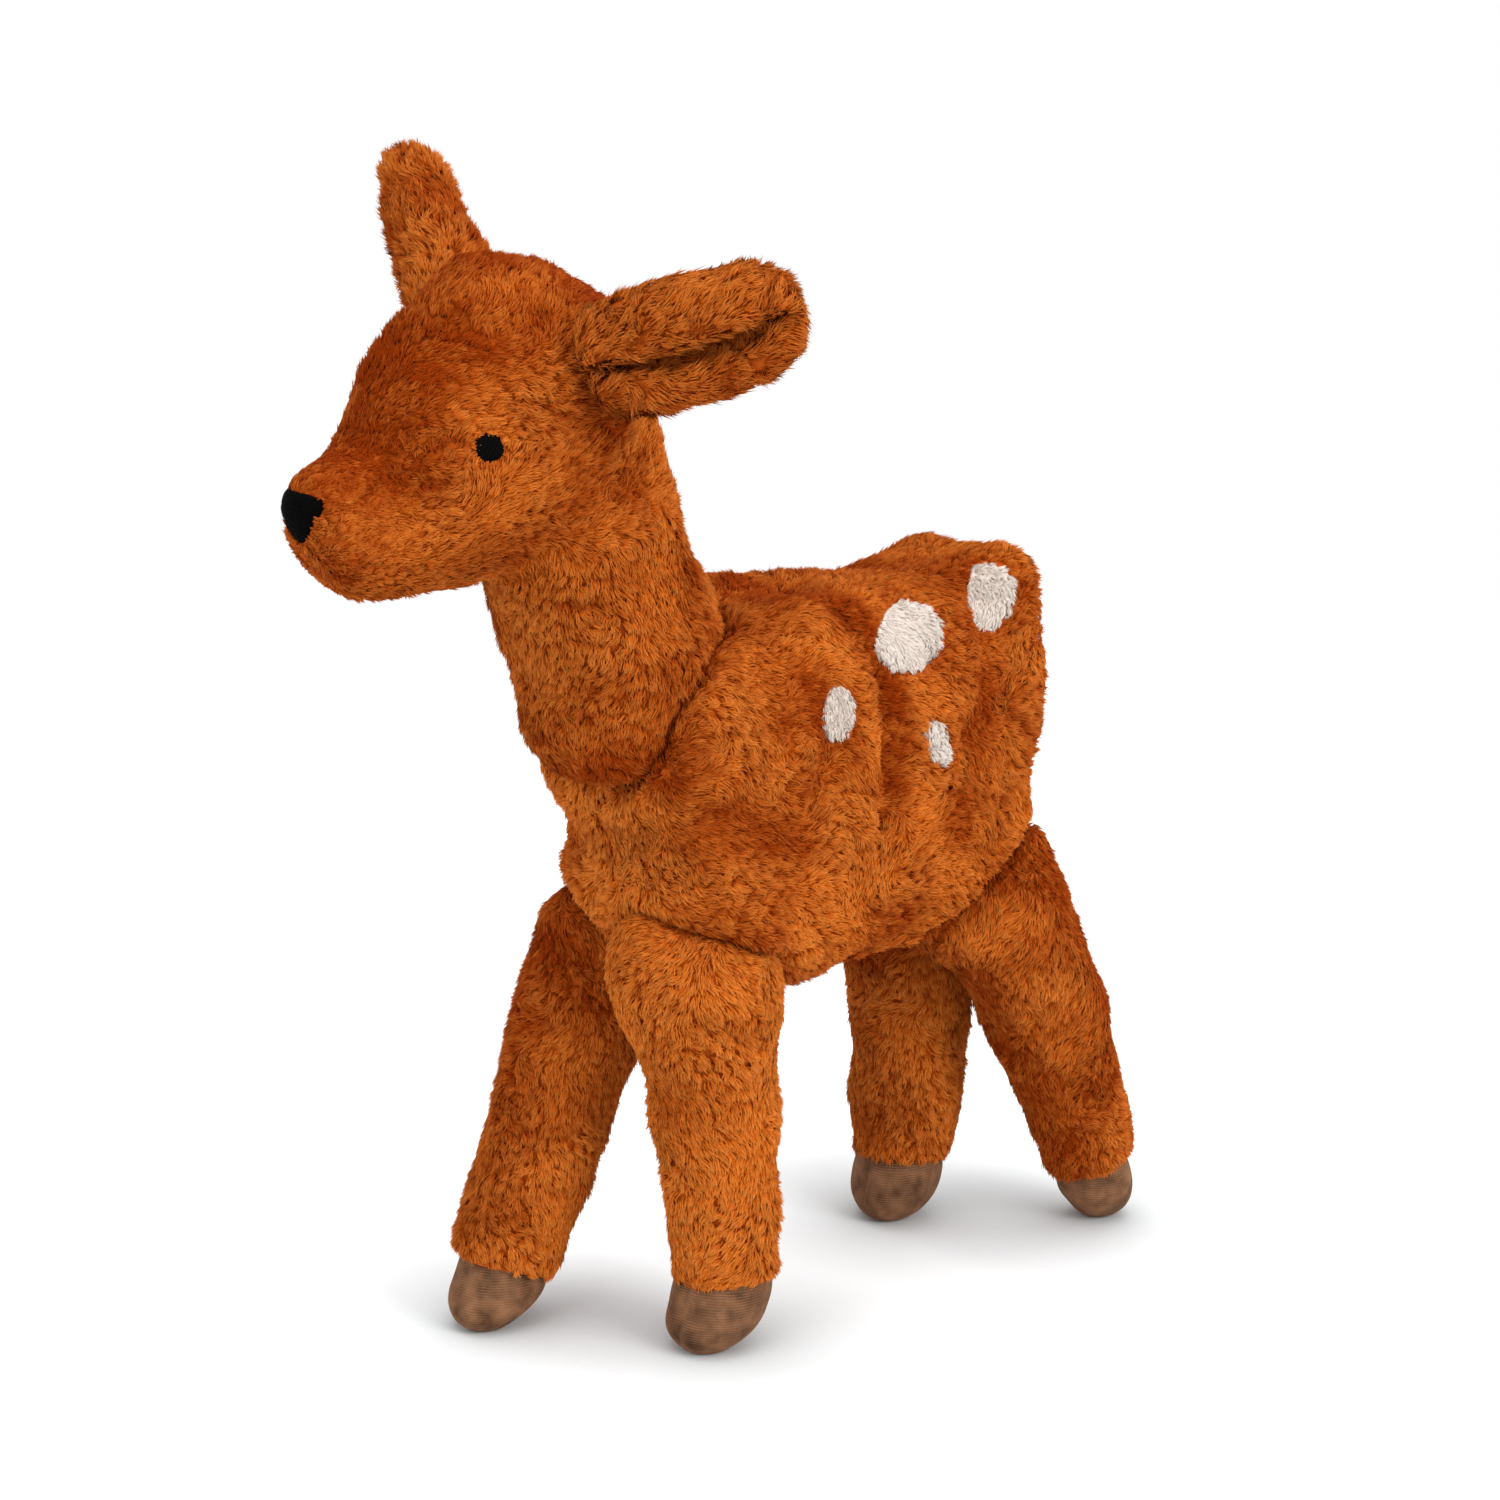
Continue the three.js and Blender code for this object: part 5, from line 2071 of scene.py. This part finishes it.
@dataclass
class Studio:
    """The pale floor, the soft lamps and the camera, in metres.

    Attributes:
        target: What the camera looks at.
        toward: The way from there to the camera.
        distance: How far away the camera is.
        lens: Its focal length in millimetres.
        lights: Each lamp's name, place, size and watts: a key from the left, a fill, one overhead.
        floor_glow: How much of its own light the floor adds for the camera.
        floor_shade: How dark the floor is to the light that it throws back.
        contact_reach: How far the painted contact shadow in the floor's glow reaches.
        surround: How strong the light from all round is.
    """

    target: Place = (-0.022, 0.033, 0.178)
    toward: Place = (0.736, -0.618, 0.276)
    distance: float = 1.5
    lens: float = 109.44
    lights: tuple[tuple[str, Place, float, float], ...] = (
        ("key", (1.75, 0.35, 1.05), 1.0, 23),
        ("fill", (0.1, -1.9, 0.9), 1.4, 13.5),
        ("top", (0.0, 0.1, 1.9), 1.8, 16),
    )
    floor_glow: float = 0.5
    floor_shade: float = 0.64
    contact_reach: float = 0.055
    surround: float = 0.62

    def hang(self, data: bpy.types.ID, place: Vector) -> bpy.types.Object:
        """Hangs a camera or a lamp, turned toward the fawn."""
        holder = bpy.data.objects.new(data.name, data)
        bpy.context.scene.collection.objects.link(holder)
        holder.location = place
        holder.rotation_euler = (place - Vector(self.target)).to_track_quat("Z", "Y").to_euler()
        return holder

    def camera(self) -> None:
        """Places the camera at the photograph's angle."""
        data = bpy.data.cameras.new("view")
        data.lens = self.lens
        data.sensor_width = 36
        data.sensor_fit = "HORIZONTAL"
        place = Vector(self.target) + Vector(self.toward).normalized() * self.distance
        bpy.context.scene.camera = self.hang(data, place)

    def lamps(self) -> None:
        """Hangs the soft square lamps."""
        for name, place, size, watts in self.lights:
            data = bpy.data.lights.new(name, "AREA")
            data.size = size
            data.energy = watts
            self.hang(data, Vector(place))

    def world(self) -> None:
        """White to the camera, and a soft surround for the light."""
        world = bpy.data.worlds.new("studio")
        world.use_nodes = True
        tree = world.node_tree
        tree.nodes.clear()
        seen = background_rays(tree)
        soft, white = (
            fed(add_node(tree, "Background"), {"Color": (1, 1, 1, 1), "Strength": strength}).outputs[0]
            for strength in (self.surround, 1.0)
        )
        mix = fed(add_node(tree, "MixShader"), {0: seen, 1: soft, 2: white})
        fed(add_node(tree, "OutputWorld"), {0: mix.outputs[0]})
        bpy.context.scene.world = world

    def floor(self) -> None:
        """Lays the floor: it takes the shadow, has a painted contact shadow in its glow, and fades to white
        far from the fawn.
        """
        bpy.ops.mesh.primitive_plane_add(size=3.4, location=(0, 0, -0.0004))
        made = bpy.context.object
        made.name = "studio_floor"
        shader = Shader("studio_floor")
        seen, shade = background_rays(shader.tree), self.floor_shade
        shader.colour(shader.blend(seen, (0.86, 0.86, 0.87, 1), (0.95 * shade, 0.99 * shade, shade, 1)))
        shader.matt(1.0, 0.0)
        # Ambient occlusion dims the floor's glow near the fawn: a painted contact shadow.
        contact = fed(shader.node("AmbientOcclusion", samples=8), {"Distance": self.contact_reach})
        soft = shader.sums("POWER", contact.outputs["AO"], 2.6)
        strength = shader.sums("MULTIPLY", shader.sums("MULTIPLY", seen, self.floor_glow), soft)
        glow = fed(shader.node("Emission"), {"Strength": strength})
        lit = fed(shader.node("AddShader"), {0: shader.surface.outputs[0], 1: glow.outputs[0]})
        fade = fed(shader.node("TexGradient", gradient_type="SPHERICAL"), {0: shader.places(0.62)})
        share = shader.ramp(fade.outputs["Fac"], ((0.35, (0, 0, 0)), (0.74, (255, 255, 255))))
        clear = shader.node("BsdfTransparent")
        mix = fed(shader.node("MixShader"), {0: share, 1: clear.outputs[0], 2: lit.outputs[0]})
        fed(shader.output, {0: mix.outputs[0]})
        made.data.materials.append(shader.material)

    def build(self) -> None:
        """Sets the whole studio up."""
        bpy.context.scene.view_settings.view_transform = "Standard"
        self.camera()
        self.lamps()
        self.world()
        self.floor()


# What each leg is made with, in the order of the fields of Leg, from its foot on.
LEG_SIZES = {
    "front_left_leg": ((27.8, -19.6), 24.0, 19.4, 17.0, 24.5, -7.2, 0.97, (0.2, 0.4), (0.26, 0.0)),
    "front_right_leg": ((-32.2, -63.5), 24.0, 19.6, 17.2, 20.0, -8.4, 0.85, (0.0, -1.4), (0.02, 0.3)),
    "hind_left_leg": ((27.0, 145.3), 24.0, 19.6, 15.3, 23.5, 5.2, 0.82, (0.0, 3.2), (-0.34, 0.0)),
    "hind_right_leg": ((-19.0, 97.7), 24.0, 20.4, 16.6, 21.5, -3.6, 0.93, (0.0, 5.6), (-0.08, 0.5)),
}
LEG_GATHERS = {
    "front_right_leg": (
        Crease(((-34, -46, 137), (-24, -49, 138), (-14, -47, 136)), 4.5, -1.8),
        Crease(((-26, -49, 130), (-17, -49, 127), (-7, -45, 123)), 4.5, 3.2),
    ),
}
LEG_TOPS = {
    "front_left_leg": (
        Tug((18, -42, 138), 12, (-2.0, -5.0, 8.0), False),
        Tug((14, -44, 132), 15, (-3.4, -4.0, 0.0), False),
        Tug((17, -46, 112), 15, (-2.8, -3.4, 0.0), False),
    ),
    "hind_left_leg": (
        Tug((32, 109, 143), 9, (0.4, 0.2, 7.5), False),
        Tug((40, 116, 134), 11, (-1.0, -1.8, 0.0), False),
        Tug((24, 80, 119), 14, (-2.0, -9.0, 0.0), False),
    ),
}


def build_belly(plush: Pile) -> None:
    """Builds what is in and on the belly: the bag, the pack, the flap and the tapes."""
    piece(Pocket().mesh(), COTTON, "torso", "pocket_lining")
    pack = HeatPack()
    for side in Side:
        piece(pack.panel(side), TWILL, "heat_pack", f"pack_panel_{side.name.lower()}", fill=0.5)
    piece(pack.filling(), Husk(), "heat_pack", "pack_seed_filling")
    flap = Flap(node_box("belly_flap"))
    body = merged("belly_flap_cloth", [as_part(flap.sheet()), flap.hinge_roll()])
    hinge = flap.box[1][0] - 5

    def keep(points: Array, normals: Array) -> Array:
        """Keeps the pile on the flap's outer face and round its hinge."""
        return (normals[:, 2] < -0.3) | ((points[:, 0] > hinge) & (normals[:, 0] > 0))

    plush.grow("belly_flap", Skin(body), Nap((0.3, 1, 0), 0.5, 0.35, 91), "flap", keep)
    piece(body, RUST.ground, "flap", "belly_flap")
    hook, loop = "flap_hook_tape", "slot_loop_tape"
    piece(flap.tape("flap_hooks", node_box(hook), True), TAPE, "flap", hook)
    piece(flap.tape("slot_loops", node_box(loop), False), TAPE, "torso", loop)


def build_head(frame: dict, torso: Skin, head: Head, skin: Skin, plush: Pile) -> None:
    """Builds the head, its ears and its face.

    Args:
        frame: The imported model.
        torso: The trunk's cover, which the neck is sewn to.
        head: The head.
        skin: The head's cover.
        plush: The pile that grows on it.
    """
    roots = [joint_point(frame, f"{side}_ear_flex") for side in ("left", "right")]
    ears = {
        "left_ear": Ear(Side.LEFT, roots[0], (0.86, 0.43, 0.28), 67.8, 2.6, -0.6),
        "right_ear": Ear(Side.RIGHT, roots[1] + EAR_SET, (-0.79, 0.32, 0.54), 72.6, 0.0, -0.8),
    }
    ear_skins = [ear.skin() for ear in ears.values()]
    for ear_skin in ear_skins:
        skin.meet(ear_skin, 1.0)
    face = Face()
    # Both seams shorten the pile and lay painted shade on it.
    seam, tucks = Seams((torso,)), Seams(ear_skins, 3.4, 0.16, 0.1)

    def keep(points: Array, normals: Array) -> Array:
        """Keeps the pile outside the trunk and the ears, and off the eyes and nose."""
        others = outside((torso, 0.6), *((each, 0.5) for each in ear_skins))
        return others(points, normals) & face.bare(points, normals)

    def trim(points: Array, normals: Array) -> Array:
        """Shears the pile on the muzzle, round the eyes and beside the neck's seam."""
        muzzle = smooth_step(-118, -145, points[:, 1])
        eyes = smooth_step(11, 6, np.hypot(points[:, 1] + 110, points[:, 2] - 306))
        return (1 - 0.3 * muzzle - 0.3 * eyes) * seam.trim(points, normals)

    def tone(points: Array, normals: Array) -> Array:
        """Paints shade on the forehead, the neck's seam and the roots of the ears, and light on the cheeks.
        """
        return head.tone(points, normals) + seam.shade(points) + tucks.shade(points)

    plush.grow("head", skin, Nap(head.nap, 0.42, 0.3, 3), "head", keep, trim, tone)
    piece(skin.mesh, RUST.ground, "head", "neck_cover", "head_cover", fill=0.7)
    piece(head.wadding(), FLEECE, "head", "head_stuffing")
    shaggy = Pile(RUST, PileStyle(4.8, 0.58, 2.7, 7, 20, 48, 0.6, 13.0, 0.55))
    for (body, ear), ear_skin in zip(ears.items(), ear_skins):
        nap = Nap(tuple(ear.ahead), 0.4, 0.35, 60 + ear.side.value)
        shaggy.grow(ear.name, ear_skin, nap, body, outside((skin, 1.6)), tone=ear.tone)
        piece(ear_skin.mesh, RUST.ground, body, ear.name, fill=0.4)
    face.build_nose(skin, Pile(FELT_FIBRE, PileStyle(0.9, 0.22, 0.7, 3, 12, 35, 0.2)))
    for side in Side:
        face.build_eye(side, skin)


def build_torso(torso: Torso, skin: Skin, limbs: Sequence[Skin], tail: Skin, plush: Pile) -> None:
    """Builds the trunk's pile and its spots.

    Args:
        torso: The trunk.
        skin: Its cover.
        limbs: The covers of the legs and the head, which are sewn to it.
        tail: The tail's cover.
        plush: The pile that grows on it.
    """
    clear = outside(*((limb, 0.6) for limb in (*limbs, tail)))
    seams = Seams(limbs)

    def keep(points: Array, normals: Array) -> Array:
        """Keeps the pile off the belly's openings, the spots and the limbs."""
        return torso.bare(points, normals) & clear(points, normals)

    def trim(points: Array, normals: Array) -> Array:
        """Shears the pile beside the seams and round the spots."""
        return seams.trim(points, normals) * (0.5 + 0.5 * smooth_step(1.0, 1.5, beside_spots(points)))

    def tone(points: Array, normals: Array) -> Array:
        """Paints shade on the back, the folds and the seams, and light where a shade's depth is negative."""
        return torso.tone(points, normals) + seams.shade(points)

    plush.grow("torso", skin, Nap((0, 0.85, -0.4), 0.5, 0.32, 1), "torso", keep, trim, tone)
    white = Pile(SNOW, PileStyle(2.5, 0.44, 1.35, 6, 18, 44, 0.4))
    for spot in SPOTS:
        for side in Side:
            spot.build(side, skin, white)


def main() -> None:
    """Builds the fawn piece by piece, and the studio round it."""
    logging.basicConfig(level=logging.INFO, format="%(message)s")
    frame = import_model()
    Studio().build()
    plush = Pile(RUST, PileStyle())

    torso = Torso(node_box("torso_cover"))
    legs = [
        Leg(
            name, joint_point(frame, f"{name}_swing"), *sizes,
            creases=LEG_GATHERS.get(name, ()), tugs=LEG_TOPS.get(name, ()),
        )
        for name, sizes in LEG_SIZES.items()
    ]
    leg_skins = [leg.skin() for leg in legs]
    head = Head(joint_point(frame, "neck_nod"))
    head_skin = head.skin()
    tail_skin = Tail(joint_point(frame, "tail_lift")).skin()
    limbs = (*leg_skins, head_skin)
    torso_skin = torso.sculpt(limbs)
    head_skin.meet(Skin(torso.form().mesh("raw_torso")), 1.2)
    for skin in leg_skins:
        skin.meet(torso_skin, 0.8)

    build_torso(torso, torso_skin, limbs, tail_skin, plush)
    for leg, skin in zip(legs, leg_skins):
        leg.build(skin, torso_skin, plush)
    build_head(frame, torso_skin, head, head_skin, plush)
    plush.grow("tail", tail_skin, Nap((0, 0.1, -1), 0.3, 0.3, 77), "tail")
    piece(tail_skin.mesh, RUST.ground, "tail", "tail", fill=0.4)
    cover = shade_smooth(with_hole(torso_skin.mesh, torso.cavity()))
    cover.name = "torso_skin"
    piece(cover, RUST.ground, "torso", "torso_cover", fill=0.7)
    piece(torso.wadding(), FLEECE, "torso", "torso_stuffing")
    build_belly(plush)


if __name__ == "__main__":
    main()
